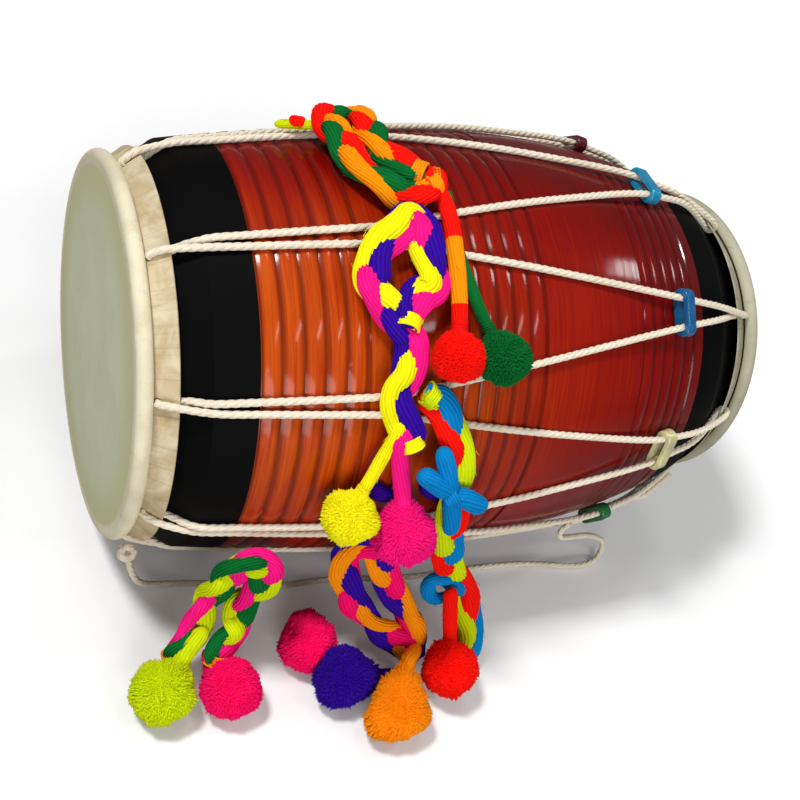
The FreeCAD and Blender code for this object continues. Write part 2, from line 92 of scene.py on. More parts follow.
# Places that the frame works out from these sizes
bass_bevel = 0.054987
strand_release = 0.3645
axis_height = 0.2041185

# Strands near the bevel of the bass mouth, and over the barrel
over_bevel_lead = 0.010
under_bevel_lead = 0.006
bevel_trail = 0.006
barrel_start = 0.030
barrel_points = 11

# Rope tail and knot
tail_ring = 4
tail_over_station = 0.549
tail_drop_station = 0.533
tail_bend_station = 0.470
tail_exit_station = 0.456
tail_exit_drop = 0.001
tail_over_lift = 0.0073
knot_angle = 140.0
knot_along = 0.0264
knot_out = 0.0158
# loops of the knot: how far each is turned, and its radius
knot_loops = ((0.2, 0.0062), (1.3, 0.0058), (2.3, 0.0060))
knot_loop_points = 40
knot_loop_share = 0.8

# Lay of the rope
rope_step = 0.002
rope_pitch = 0.023
rope_strands = 3
strand_offset_share = 0.205
strand_radius_share = 0.295
strand_height_share = 1.06

# Route of the loose rope, from the knot to the tail
loose_rope_route = [
    (-0.2805, -0.122, 0.0526), (-0.276, -0.1255, 0.034), (-0.266, -0.126, 0.017), (-0.248, -0.121, 0.005),
    (-0.226, -0.122, 0.0034), (-0.187, -0.128, 0.0034), (-0.139, -0.14, 0.0034), (-0.088, -0.138, 0.0034),
    (-0.037, -0.144, 0.0034), (0.018, -0.15, 0.0034), (0.072, -0.148, 0.0034), (0.122, -0.149, 0.0034),
    (0.165, -0.154, 0.0034), (0.2, -0.163, 0.0034), (0.226, -0.163, 0.0034), (0.244, -0.153, 0.007),
    (0.242, -0.148, 0.024), (0.224, -0.15, 0.037), (0.204, -0.156, 0.052), (0.182, -0.164, 0.066),
    (0.16, -0.171, 0.077), (0.141, -0.176, 0.086), (0.136, -0.175, 0.098), (0.147, -0.172, 0.1045),
]

# Braids: colours of the three bundles, colour of the ties, pieces carried, counts of the plait at even
# shares of the route, and the route
braids = {
    "braid_top": (
        ("green", "orange", "red"), "orange", ["braid_top_knot", "yarn_tip"],
        (1.044, 1.413, 1.640, 2.121, 2.582, 3.088, 3.331),
        [
            (-0.0606, -0.0339, 0.4156), (-0.0747, -0.0391, 0.4128), (-0.0917, -0.0451, 0.4064),
            (-0.1083, -0.0306, 0.4129), (-0.1221, -0.0127, 0.411), (-0.1247, 0.0052, 0.4116),
            (-0.1279, 0.0306, 0.4138), (-0.13, 0.0513, 0.4074), (-0.1203, 0.0704, 0.407),
            (-0.1041, 0.0679, 0.4026), (-0.094, 0.0596, 0.4096), (-0.0966, 0.0442, 0.4123),
            (-0.0964, 0.0147, 0.4126), (-0.0903, -0.0064, 0.4156), (-0.0807, -0.0214, 0.4181),
            (-0.071, -0.0283, 0.4194),
        ],
    ),
    "braid_centre": (
        ("yellow", "magenta", "indigo"), "yellow", ["tassel_yellow", "tassel_magenta"],
        (0.569, 0.825, 1.193, 1.738, 1.978, 2.332, 2.739),
        [
            (-0.0998, -0.2004, 0.2825), (-0.1095, -0.1874, 0.2989), (-0.1193, -0.1729, 0.3191),
            (-0.1076, -0.166, 0.3322), (-0.104, -0.1464, 0.3531), (-0.1156, -0.137, 0.3602),
            (-0.1293, -0.1185, 0.3724), (-0.1359, -0.1076, 0.3767), (-0.1258, -0.0855, 0.3925),
            (-0.1068, -0.0777, 0.4024), (-0.0942, -0.0627, 0.4102), (-0.0837, -0.0743, 0.4053),
            (-0.0887, -0.0897, 0.3985), (-0.08, -0.1191, 0.381), (-0.101, -0.1196, 0.3746),
            (-0.1115, -0.1448, 0.3615),
        ],
    ),
    "braid_front": (
        ("red", "lime", "blue"), "lime", ["bow_knot", "tassel_red_lower"],
        (0.101, 0.429, 0.786, 1.113, 1.664, 1.931, 2.220),
        [
            (-0.0931, -0.1731, 0.3208), (-0.0782, -0.1792, 0.3136), (-0.0678, -0.1921, 0.2954),
            (-0.0573, -0.2036, 0.2745), (-0.0543, -0.2145, 0.2493), (-0.0475, -0.2213, 0.2127),
            (-0.035, -0.2189, 0.1645), (-0.0175, -0.2192, 0.1232), (0.0135, -0.2153, 0.0876),
            (0.025, -0.2185, 0.0607), (0.0311, -0.2435, 0.0312), (0.0242, -0.2534, 0.0126),
        ],
    ),
    "braid_floor": (
        ("orange", "pink", "indigo"), "indigo", ["tassel_orange", "tassel_indigo", "tassel_pink"],
        (-0.242, 0.365, 0.698, 0.979, 1.362, 1.755, 2.045),
        [
            (-0.0272, -0.245, 0.0191), (-0.0455, -0.235, 0.0352), (-0.0659, -0.2254, 0.0477),
            (-0.0901, -0.2096, 0.0675), (-0.1064, -0.2102, 0.0996), (-0.123, -0.2046, 0.14),
            (-0.122, -0.2086, 0.1653), (-0.1064, -0.2101, 0.1719), (-0.0893, -0.2107, 0.1489),
            (-0.0731, -0.2108, 0.1089), (-0.0465, -0.2118, 0.0682), (-0.0283, -0.23, 0.0451),
            (-0.028, -0.2442, 0.0226),
        ],
    ),
    "braid_left": (
        ("green", "lime", "magenta"), "orange", ["tassel_lime", "tassel_rose"],
        (0.809, 1.047, 1.463, 1.909, 2.530, 2.985, 3.413),
        [
            (-0.2595, -0.2136, 0.0258), (-0.2418, -0.2093, 0.0432), (-0.2355, -0.1973, 0.0597),
            (-0.2275, -0.19, 0.0901), (-0.2208, -0.1977, 0.1157), (-0.2191, -0.1986, 0.1427),
            (-0.2075, -0.2019, 0.1548), (-0.1908, -0.2041, 0.1437), (-0.1893, -0.2043, 0.1089),
            (-0.2015, -0.1963, 0.0832), (-0.1998, -0.2129, 0.0588), (-0.2172, -0.215, 0.0448),
            (-0.2219, -0.2273, 0.03),
        ],
    ),
}
plait_reach = 0.0064
left_plait_reach = 0.0078
plait_height = 0.0036
plait_gather = 0.014
bundle_half_width = 0.0094
bundle_half_height = 0.0064
bundle_ripple = 0.047
bundle_twist_rate = 14
bundle_sides = 60
bundle_flutes = 15
tie_reach = 0.0055
tie_radius = 0.0088
tie_turns = 5
tie_yarn_radius = 0.0012

# Tassels: colour, how far the pompom is drawn out, radii of pompom and neck, route from the braid to the
# pompom's centre
tassels = {
    "tassel_red_upper": ("red", 1.12, 0.0214, 0.0068, [
        (-0.0585, -0.0375, 0.4121), (-0.0557, -0.0572, 0.4056), (-0.0573, -0.0799, 0.3977),
        (-0.0604, -0.1022, 0.3889), (-0.0607, -0.1194, 0.3759), (-0.0616, -0.1339, 0.3648),
        (-0.0677, -0.1565, 0.3542), (-0.0751, -0.1708, 0.3559),
    ]),
    "tassel_green": ("green", 1.25, 0.0226, 0.0050, [
        (-0.053, -0.0375, 0.4123), (-0.0544, -0.0663, 0.3997), (-0.0541, -0.0948, 0.3876),
        (-0.0479, -0.1171, 0.3757), (-0.0402, -0.1353, 0.3622), (-0.0329, -0.1568, 0.353),
        (-0.0334, -0.1719, 0.3537),
    ]),
    "tassel_yellow": ("yellow", 1.15, 0.0236, 0.0054, [
        (-0.112, -0.1892, 0.3041), (-0.1165, -0.194, 0.2886), (-0.1207, -0.1957, 0.2726),
        (-0.1275, -0.2013, 0.2513), (-0.1353, -0.2064, 0.2303), (-0.1427, -0.2143, 0.2258),
        (-0.1444, -0.2192, 0.2259),
    ]),
    "tassel_magenta": ("magenta", 1.35, 0.0276, 0.0070, [
        (-0.1123, -0.1958, 0.2952), (-0.1119, -0.1993, 0.2821), (-0.1046, -0.2057, 0.2577),
        (-0.0975, -0.2131, 0.2333), (-0.0962, -0.2227, 0.2188), (-0.0952, -0.2294, 0.2082),
    ]),
    "tassel_red_lower": ("red", 1.12, 0.0270, 0.0068, [
        (-0.0164, -0.2326, 0.1122), (-0.0031, -0.2331, 0.0726), (-0.0009, -0.2494, 0.0489),
        (-0.0067, -0.2728, 0.039),
    ]),
    "tassel_orange": ("orange", 2.05, 0.0280, 0.0074, [
        (-0.027, -0.242, 0.03), (-0.039, -0.253, 0.04), (-0.05, -0.262, 0.045), (-0.0643, -0.2988, 0.029),
    ]),
    "tassel_indigo": ("indigo", 1.90, 0.0282, 0.0060, [
        (-0.03, -0.256, 0.011), (-0.052, -0.2575, 0.013), (-0.076, -0.257, 0.019),
        (-0.1067, -0.2558, 0.0272),
    ]),
    "tassel_pink": ("pink", 1.25, 0.0276, 0.0045, [
        (-0.04, -0.26, 0.005), (-0.07, -0.256, 0.005), (-0.098, -0.244, 0.0052), (-0.116, -0.228, 0.01),
        (-0.1295, -0.217, 0.0268),
    ]),
    "tassel_lime": ("lime", 1.45, 0.0284, 0.0080, [
        (-0.2306, -0.2082, 0.0641), (-0.2401, -0.2128, 0.051), (-0.2507, -0.2201, 0.0361),
        (-0.2706, -0.2443, 0.029),
    ]),
    "tassel_rose": ("pink", 1.50, 0.0276, 0.0074, [
        (-0.2283, -0.2152, 0.0418), (-0.2233, -0.2235, 0.0339), (-0.2163, -0.2316, 0.025),
        (-0.2115, -0.2497, 0.028),
    ]),
}
hanging_tassels = ("tassel_red_upper", "tassel_green")
# colours along a neck, each with the share where it ends
neck_bands = {"tassel_red_upper": [(0.34, "red"), (0.74, "orange"), (1.0, "red")]}
# directions in which pompoms bulge, as long as the share they bulge by
pompom_corners = {
    "tassel_orange": (-0.40, -0.16, -0.06),
    "tassel_indigo": (-0.10, -0.12, -0.04),
    "tassel_pink": (0.05, 0.17, 0.03),
}
pompom_seed = 11
pompom_flat_share = 0.94
tuft_count = 3400
tuft_sides = 4
tuft_base_radius = 0.00080
tuft_middle_radius = 0.00084
tuft_floor_gap = 0.0004
tuft_floor_ruffle = 0.0006
tuft_fibre_step = 0.0004
core_floor_gap = 0.0005
core_share = 0.885
core_rows = 26
core_sides = 40
core_pole_angle = 0.03
neck_tie_share = 0.90
neck_sides = 56
neck_flutes = 14

# Bow: each arm's points from its middle outwards, half its width and half its height
bow_middle = (-0.0651, -0.226, 0.252)
bow_arms = [
    ([bow_middle, (-0.0786, -0.2247, 0.2628), (-0.0912, -0.2214, 0.2718), (-0.0993, -0.219, 0.2774)],
     0.0088, 0.0066),
    ([bow_middle, (-0.0549, -0.2286, 0.2513), (-0.0412, -0.2308, 0.2427), (-0.0306, -0.2321, 0.236)],
     0.0094, 0.0068),
    ([bow_middle, (-0.0722, -0.2233, 0.2692), (-0.0773, -0.2161, 0.2837), (-0.0821, -0.2093, 0.2946)],
     0.0078, 0.0062),
    ([bow_middle, (-0.0615, -0.2304, 0.2399), (-0.0561, -0.2326, 0.2229), (-0.0524, -0.2335, 0.2066)],
     0.0078, 0.0062),
]
bow_facing = (-0.2, -1, 0.15)
bow_tie_ahead = (0.7, 0.1, 0.6)
bow_tie_radius = 0.0072
bow_tie_yarn_radius = 0.0013

# Small loops and ends of yarn: their points, and half their width and height
indigo_ends = [
    [(-0.1207, -0.1978, 0.2356), (-0.1057, -0.2009, 0.2187), (-0.1018, -0.2, 0.2305)],
    [(-0.0746, -0.201, 0.2359), (-0.0582, -0.2038, 0.2182), (-0.0537, -0.2031, 0.2277)],
]
indigo_half = (0.0075, 0.0060)
front_loop = [
    (-0.0069, -0.2227, 0.1116), (-0.0287, -0.2223, 0.1207), (-0.0364, -0.2221, 0.1107),
    (-0.0253, -0.2214, 0.0855), (-0.0099, -0.2207, 0.0756), (-0.0016, -0.2187, 0.0843),
]
front_loop_half = (0.0074, 0.0062)
yarn_tip_route = [
    (-0.13, 0.053, 0.404), (-0.145, 0.06, 0.401), (-0.168, 0.0665, 0.3945),
]
yarn_tip_half = (0.0044, 0.0040)
yarn_tip_wrap = [
    (-0.144, 0.059, 0.4025), (-0.15, 0.062, 0.4012), (-0.157, 0.0645, 0.3992),
]
yarn_wrap_half = (0.0056, 0.0050)
top_knot_centre = (-0.064, -0.032, 0.417)
top_knot_loops = ((10, "red"), (75, "orange"), (130, "red"))
top_knot_reach = 0.0105
top_knot_lift = 0.006
# places along a loop of the top knot, as shares of its reach and of its lift
top_knot_shares = ((-1.1, -1.0), (-0.6, 0.6), (0.0, 1.1), (0.6, 0.6), (1.1, -1.0))
top_knot_half = (0.0065, 0.0052)
upward = (0, 0, 1)

# Yarn in general
yarn_step = 0.0016
lobe_step = 0.0010
fibre_root_radius = 0.00032
fibre_tip_radius = 0.00012
wrap_turns = 4
wrap_yarn_radius = 0.0011
wrap_pitch_share = 1.8
wrap_turn_points = 22
# yarn near the floor faces up, and turns outwards over a range of heights
low_height = 0.012
low_range = 0.05

# Camera
camera_lens = 50.76
camera_sensor = 36.0
camera_spot = (-0.4948, -0.6892, 0.9148)
camera_right = Vector((0.8989, -0.3264, 0.2924)).normalized()
camera_back = Vector((-0.4351, -0.5854, 0.6841)).normalized()

# Depths of the relief in the materials, and where a skin's look changes from its mouth to its lap
yarn_relief = 0.0006
rope_relief = 0.0005
wood_relief = 0.0006
hide_relief = 0.0008
collar_relief = 0.0012
plastic_relief = 0.0008
plain_relief = 0.0006
lap_start = 0.0035
lap_full = 0.0075

# Floor and lamps
floor_reach = 4.0
lamp_aim = Vector((0.0, 0.0, 0.15))
# lamps: direction from the drum, distance, size, power
lamps = {
    "key": ((-0.42, 0.05, 0.90), 4.0, (0.60, 0.60), 105.0),
    "front": ((-0.25, -0.94, 0.22), 2.4, (1.2, 1.2), 28.0),
    "fill": ((0.30, -0.60, 0.74), 2.6, (1.0, 0.12), 6.0),
    "top": ((0.07, 0.0, 1.0), 2.0, (0.2, 0.2), 2.6),
    "rim": ((0.75, -0.07, 0.65), 2.4, (0.28, 0.28), 5.0),
}

# Step over which a slope is measured
slope_step = 0.001

# Sizes that follow
rope_radius = rope_diameter / 2
rope_lift = rope_radius + running_gap
lap_radius = hoop_section_radius + skin_thickness
hoop_offset = hoop_gap + lap_radius
angle_step = 360.0 / lacing_points


# Places on the drum

def barrel_radius(station):
    """Outer radius of the barrel at a station."""
    away = station - belly_station
    if away < 0:
        run = belly_station - bass_band_station
        return belly_radius - (belly_radius - bass_band_radius) * (-away / run) ** bass_fullness
    run = treble_band_station - belly_station
    return belly_radius - (belly_radius - treble_band_radius) * (away / run) ** treble_fullness


def collar_point(mouth_radius, along_by, out_by):
    """Station and radius of a point set out from the start of a collar."""
    seat = math.radians(collar_seat_angle)
    reach = lap_radius + running_gap
    slope = math.radians(collar_slope)
    start_station = lap_radius + reach * math.cos(seat)
    start_radius = mouth_radius + hoop_offset + reach * math.sin(seat)
    return (
        start_station + along_by * math.cos(slope) - out_by * math.sin(slope),
        start_radius + along_by * math.sin(slope) + out_by * math.cos(slope),
    )


hook_depth = collar_point(bass_mouth_radius, hook_set_back, 0)[0]
slide_middle = ring_station + ring_travel / 2
slide_rise = barrel_radius(slide_middle + slope_step) - barrel_radius(slide_middle - slope_step)
slide_slope = slide_rise / (2 * slope_step)
slide_radius = barrel_radius(slide_middle)
spread_rate = angle_step / 2 / (drum_length - 2 * hook_depth)
ring_half_turn = math.radians(spread_rate * (drum_length - hook_depth - ring_station))
ring_drop = slide_radius * (1 - math.cos(ring_half_turn))
ring_strand_lift = ring_seat_gap + ring_bar + ring_play + rope_radius + ring_drop
ring_entry = ring_station - ring_width / 2 - ring_end_margin
ring_leave = ring_station + ring_travel + ring_width / 2 + ring_end_margin


def slide_line(station, lift):
    """Radius of the straight line that the rings slide along, lifted."""
    return slide_radius + (station - slide_middle) * slide_slope + lift


def strand_angle(bass_index, side, station):
    """Angle of a strand from bass hook bass_index to the treble hook on that side of it."""
    stations = (hook_depth, bass_bevel, tie_station, ring_entry, drum_length - hook_depth)
    at_tie = tie_spread if bass_index in tied_hooks else spread_rate * (tie_station - hook_depth)
    turns = (0, hook_spread, at_tie, spread_rate * (ring_entry - hook_depth), angle_step / 2)
    return bass_first_angle + angle_step * bass_index + side * np.interp(station, stations, turns)


def place(station, radius, angle):
    """World point from a station, a radius and an angle about the drum's axis."""
    turn = math.radians(angle)
    return station - drum_length / 2, -radius * math.sin(turn), axis_height + radius * math.cos(turn)


# Geometry helpers

def add_object(name, data):
    """A new object in the scene."""
    made = bpy.data.objects.new(name, data)
    bpy.context.scene.collection.objects.link(made)
    return made


def unit(vectors):
    return vectors / np.maximum(np.linalg.norm(vectors, axis=-1, keepdims=True), 1e-9)


def tangents(points):
    return unit(np.gradient(points, axis=0))


def reach_along(points):
    """Distance of each point from the first, along the line."""
    gaps = np.linalg.norm(np.diff(points, axis=0), axis=1)
    return np.concatenate([[0.0], np.cumsum(gaps)])


def circle_angles(count):
    return np.arange(count) * 2 * math.pi / count


def spline_line(route, step):
    """Points a step apart, read from the NURBS spline that has the route's points as its control points."""
    data = bpy.data.curves.new("line", "CURVE")
    data.dimensions = "3D"
    data.resolution_u = 24
    spline = data.splines.new("NURBS")
    spline.points.add(len(route) - 1)
    for point, spot in zip(spline.points, route):
        point.co = (*spot, 1.0)
    spline.order_u = 3
    spline.use_endpoint_u = True
    holder = bpy.data.objects.new("line", data)
    mesh = bpy.data.meshes.new_from_object(holder)
    points = np.array([v.co[:] for v in mesh.vertices])
    bpy.data.objects.remove(holder)
    bpy.data.curves.remove(data)
    bpy.data.meshes.remove(mesh)
    reach = reach_along(points)
    count = max(2, int(round(reach[-1] / step)) + 1)
    at = np.linspace(0.0, reach[-1], count)
    return np.stack([np.interp(at, reach, points[:, i]) for i in range(3)], axis=1)


def square_to(direction):
    """A direction square to this one."""
    helper = (0.0, 0.0, 1.0) if abs(direction[2]) < 0.9 else (1.0, 0.0, 0.0)
    return unit(np.cross(direction, helper))


def carried_frame(points):
    """Side and out vectors carried along a line without twist."""
    ahead = tangents(points)
    sides = [square_to(ahead[0])]
    for direction in ahead[1:]:
        sides.append(unit(sides[-1] - direction * np.dot(sides[-1], direction)))
    side = np.array(sides)
    return side, np.cross(side, ahead)


def facing_frame(points, facing):
    """Side and out vectors along a line, the out vectors as near as can be to the facing ones."""
    ahead = tangents(points)
    out = unit(facing - ahead * np.sum(facing * ahead, axis=1, keepdims=True))
    return np.cross(ahead, out), out


def outward(points):
    """Directions away from the drum's axis, turned upwards near the floor."""
    away = unit(np.stack([points[:, 0] * 0, points[:, 1], points[:, 2] - axis_height], axis=1))
    share = np.clip((points[:, 2:3] - low_height) / low_range, 0, 1)
    up = np.array([[0.0, -0.25, 1.0]])
    return unit(away * share + up * (1 - share))


def ease(value, first, last):
    """Smooth rise from nought at first to one at last."""
    share = np.clip((value - first) / (last - first), 0, 1)
    return share * share * (3 - 2 * share)


def wrap_faces(rows, sides):
    """Quads round a grid of rows and sides, and triangles to one more point for each end."""
    base = np.arange(rows - 1)[:, None] * sides
    here = np.arange(sides)
    after = (here + 1) % sides
    quads = np.stack([base + here, base + after, base + sides + after, base + sides + here], axis=2)
    last = (rows - 1) * sides
    low = np.stack([np.full(sides, last + sides), after, here], axis=1)
    high = np.stack([np.full(sides, last + sides + 1), last + here, last + after], axis=1)
    return quads.reshape(-1, 4), np.concatenate([low, high])


class Heap:
    """Collects points, quads and triangles, then makes one mesh object of them."""

    def __init__(self):
        self.points = []
        self.quads = []
        self.tris = []
        self.quad_slots = []
        self.tri_slots = []
        self.fibres = []
        self.shades_and_tones = []
        self.count = 0

    def add(self, points, quads, tris, slot, fibres, shades_and_tones):
        slots = np.broadcast_to(slot, len(quads))
        self.points.append(points)
        self.quads.append(quads + self.count)
        self.tris.append(tris + self.count)
        self.quad_slots.append(slots)
        self.tri_slots.append(np.full(len(tris), slots[0]))
        self.fibres.append(fibres)
        self.shades_and_tones.append(shades_and_tones)
        self.count += len(points)

    def tube(self, line, side, out, half_width, half_height, slot=0, sides=10, flutes=0, depth=0, turn=0):
        """A closed tube of oval section along a line, fluted along its length if asked."""
        rows = len(line)
        around = circle_angles(sides)
        shape = 1 - depth * np.abs(np.sin(flutes * around / 2)) ** 3
        twist = around + np.broadcast_to(turn, rows)[:, None]
        lateral = np.cos(twist) * shape * np.broadcast_to(half_width, rows)[:, None]
        vertical = np.sin(twist) * shape * np.broadcast_to(half_height, rows)[:, None]
        grid = line[:, None] + side[:, None] * lateral[:, :, None] + out[:, None] * vertical[:, :, None]
        size = float(np.mean(half_width))
        run = reach_along(line)
        fibres = np.empty((rows, sides, 3))
        fibres[:, :, 0] = np.cos(around) * size
        fibres[:, :, 1] = np.sin(around) * size
        fibres[:, :, 2] = run[:, None]
        shades_and_tones = np.ones((rows, sides))
        # painted shade: the hollows between the flutes get a lower tone
        if depth:
            shades_and_tones = shades_and_tones * (1 - 0.55 * (1 - shape) / depth)
        shades_and_tones = shades_and_tones.reshape(-1)
        quads, tris = wrap_faces(rows, sides)
        self.add(
            np.concatenate([grid.reshape(-1, 3), line[[0, -1]]]),
            quads,
            tris,
            np.repeat(np.broadcast_to(slot, rows - 1), sides),
            np.concatenate([fibres.reshape(-1, 3), [[0, 0, run[0]], [0, 0, run[-1]]]]),
            np.concatenate([shades_and_tones, shades_and_tones[[0, -1]]]),
        )

    def build(self, name, materials, replaces):
        """The mesh object, on the drum, in the slot and in place of the CAD node that it replaces."""
        mesh = bpy.data.meshes.new(name)
        points = np.concatenate(self.points)
        quads = np.concatenate(self.quads)
        tris = np.concatenate(self.tris)
        mesh.vertices.add(len(points))
        mesh.vertices.foreach_set("co", points.astype(np.float32).ravel())
        corners = np.concatenate([quads.ravel(), tris.ravel()]).astype(np.int32)
        mesh.loops.add(len(corners))
        mesh.loops.foreach_set("vertex_index", corners)
        sizes = np.concatenate([np.full(len(quads), 4), np.full(len(tris), 3)])
        starts = np.concatenate([[0], np.cumsum(sizes)[:-1]]).astype(np.int32)
        mesh.polygons.add(len(sizes))
        mesh.polygons.foreach_set("loop_start", starts)
        slots = np.concatenate(self.quad_slots + self.tri_slots).astype(np.int32)
        mesh.polygons.foreach_set("material_index", slots)
        mesh.polygons.foreach_set("use_smooth", np.ones(len(sizes), dtype=bool))
        mesh.update(calc_edges=True)
        fibre = mesh.attributes.new("fibre", "FLOAT_VECTOR", "POINT")
        fibre.data.foreach_set("vector", np.concatenate(self.fibres).astype(np.float32).ravel())
        shade_and_tone = mesh.attributes.new("shade_and_tone", "FLOAT", "POINT")
        shade_and_tone.data.foreach_set("value", np.concatenate(self.shades_and_tones).astype(np.float32))
        for material in materials:
            mesh.materials.append(material)
        made = add_object(name, mesh)
        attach(made, "drum")
        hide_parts(replaces)
        return made


# Materials

def linear(red, green, blue, shift=0):
    """Linear colour from 8-bit display values, all shifted by as much."""
    parts = []
    for value in (red, green, blue):
        share = (value + shift) / 255
        parts.append(share / 12.92 if share <= 0.04045 else ((share + 0.055) / 1.055) ** 2.4)
    return (*parts, 1.0)


def dimmed(colour, share, lift=0.0):
    """A linear colour made darker or paler."""
    return (*[min(1.0, part * share + lift) for part in colour[:3]], 1.0)


class Value:
    """A node's output, for sums and products."""

    def __init__(self, nodes, socket):
        self.nodes = nodes
        self.socket = socket

    def __add__(self, other):
        return self.nodes.math("ADD", self, other)

    def __sub__(self, other):
        return self.nodes.math("SUBTRACT", self, other)

    def __mul__(self, other):
        return self.nodes.math("MULTIPLY", self, other)

    def __truediv__(self, other):
        return self.nodes.math("DIVIDE", self, other)


class Nodes:
    """Short calls that build a node tree."""

    def __init__(self, tree):
        self.tree = tree

    def new(self, kind):
        return self.tree.nodes.new("ShaderNode" + kind)

    def put(self, value, socket):
        if isinstance(value, Value):
            self.tree.links.new(value.socket, socket)
        else:
            socket.default_value = value

    def fill(self, node, inputs=(), output=0):
        """Sets or links a node's inputs by name or number, and gives one of its outputs."""
        for key, value in dict(inputs).items():
            self.put(value, node.inputs[key])
        return Value(self, node.outputs[output])

    def attribute(self, name, output):
        node = self.new("Attribute")
        node.attribute_name = name
        return self.fill(node, output=output)

    def place(self):
        return self.fill(self.new("TexCoord"), output="Object")

    def camera_ray(self):
        return self.fill(self.new("LightPath"), output="Is Camera Ray")

    def split(self, vector):
        node = self.new("SeparateXYZ")
        self.put(vector, node.inputs[0])
        return [Value(self, socket) for socket in node.outputs]

    def join(self, *parts):
        return self.fill(self.new("CombineXYZ"), enumerate(parts))

    def math(self, operation, *values, clamp=False):
        node = self.new("Math")
        node.operation = operation
        node.use_clamp = clamp
        return self.fill(node, enumerate(values))

    def stretch(self, vector, scale):
        node = self.new("VectorMath")
        node.operation = "MULTIPLY"
        return self.fill(node, enumerate((vector, scale)))

    def noise(self, vector, scale, detail=3.0, roughness=0.5, distortion=0.0):
        inputs = {"Vector": vector, "Scale": scale, "Detail": detail, "Roughness": roughness,
                  "Distortion": distortion}
        return self.fill(self.new("TexNoise"), inputs, "Fac")

    def ramp(self, value, stops):
        node = self.new("ValToRGB")
        elements = node.color_ramp.elements
        while len(elements) < len(stops):
            elements.new(0.5)
        for element, (position, colour) in zip(elements, stops):
            element.position = position
            element.color = colour
        return self.fill(node, {0: value})

    def mix(self, share, a, b):
        node = self.new("Mix")
        node.data_type = "RGBA"
        return self.fill(node, {"Factor": share, 6: a, 7: b}, 2)

    def span(self, value, low, high, to_low=0.0, to_high=1.0):
        node = self.new("MapRange")
        node.interpolation_type = "SMOOTHSTEP"
        inputs = {"Value": value, "From Min": low, "From Max": high, "To Min": to_low, "To Max": to_high}
        return self.fill(node, inputs, "Result")


class Look(Nodes):
    """A new material and its node tree."""

    def __init__(self, name):
        self.material = bpy.data.materials.new(name)
        self.material.use_nodes = True
        super().__init__(self.material.node_tree)
        self.shader = self.tree.nodes["Principled BSDF"]

    def bump(self, height, strength, distance):
        normal = self.fill(self.new("Bump"), {"Strength": strength, "Distance": distance, "Height": height})
        self.put(normal, self.shader.inputs["Normal"])

    def finish(self, colour, roughness, **sockets):
        self.put(colour, self.shader.inputs["Base Color"])
        self.put(roughness, self.shader.inputs["Roughness"])
        for name, value in sockets.items():
            self.put(value, self.shader.inputs[name.replace("_", " ")])
        return self.material


def yarn_material(name, colour):
    """Soft acrylic yarn: fine fibres along each bundle, with painted shade between the plies."""
    n = Look(name)
    fibre = n.attribute("fibre", "Vector")
    shade_and_tone = n.attribute("shade_and_tone", "Fac")
    fine = n.noise(n.stretch(fibre, (2600.0, 2600.0, 260.0)), 1.0, 4.0, 0.6)
    broad = n.noise(n.stretch(fibre, (500.0, 500.0, 90.0)), 1.0, 2.0)
    base = linear(*colour)
    # the tone brings painted shade into flutes, tuft roots and cores, and painted light onto tuft tips
    shade = n.math("ADD", fine * 0.45 + broad * 0.3, shade_and_tone * 0.62, clamp=True)
    look = n.ramp(shade, [(0.25, dimmed(base, 0.45)), (0.78, base), (1.0, dimmed(base, 1.10, 0.006))])
    n.bump(fine + broad * 0.6, 0.7, yarn_relief)
    return n.finish(look, 0.9, Specular_IOR_Level=0.06)


def rope_material():
    """Laid cotton rope, off-white, with dirtier patches."""
    n = Look("cotton_rope")
    fibre = n.attribute("fibre", "Vector")
    shade_and_tone = n.attribute("shade_and_tone", "Fac")
    spun = n.noise(n.stretch(fibre, (3200.0, 3200.0, 300.0)), 1.0, 4.0, 0.6)
    soil = n.noise(n.place(), 22.0, 3.0, 0.6)
    shade = n.math("ADD", spun * 0.4, shade_and_tone * 0.7, clamp=True)
    clean = n.ramp(shade, [
        (0.2, linear(168, 154, 130)),
        (0.75, linear(234, 221, 199)),
        (1.0, linear(242, 231, 210)),
    ])
    worn = n.mix(n.span(soil, 0.52, 0.75, 0.0, 0.35), clean, linear(206, 190, 158))
    n.bump(spun, 0.8, rope_relief)
    return n.finish(worn, 0.85, Specular_IOR_Level=0.15)


def round_place(n):
    """Place along the drum, distance from its axis, and coordinates that run round it without a seam."""
    x, y, z = n.split(n.place())
    up = z - axis_height
    radius = n.math("SQRT", y * y + up * up)
    return x, radius, y / radius, up / radius


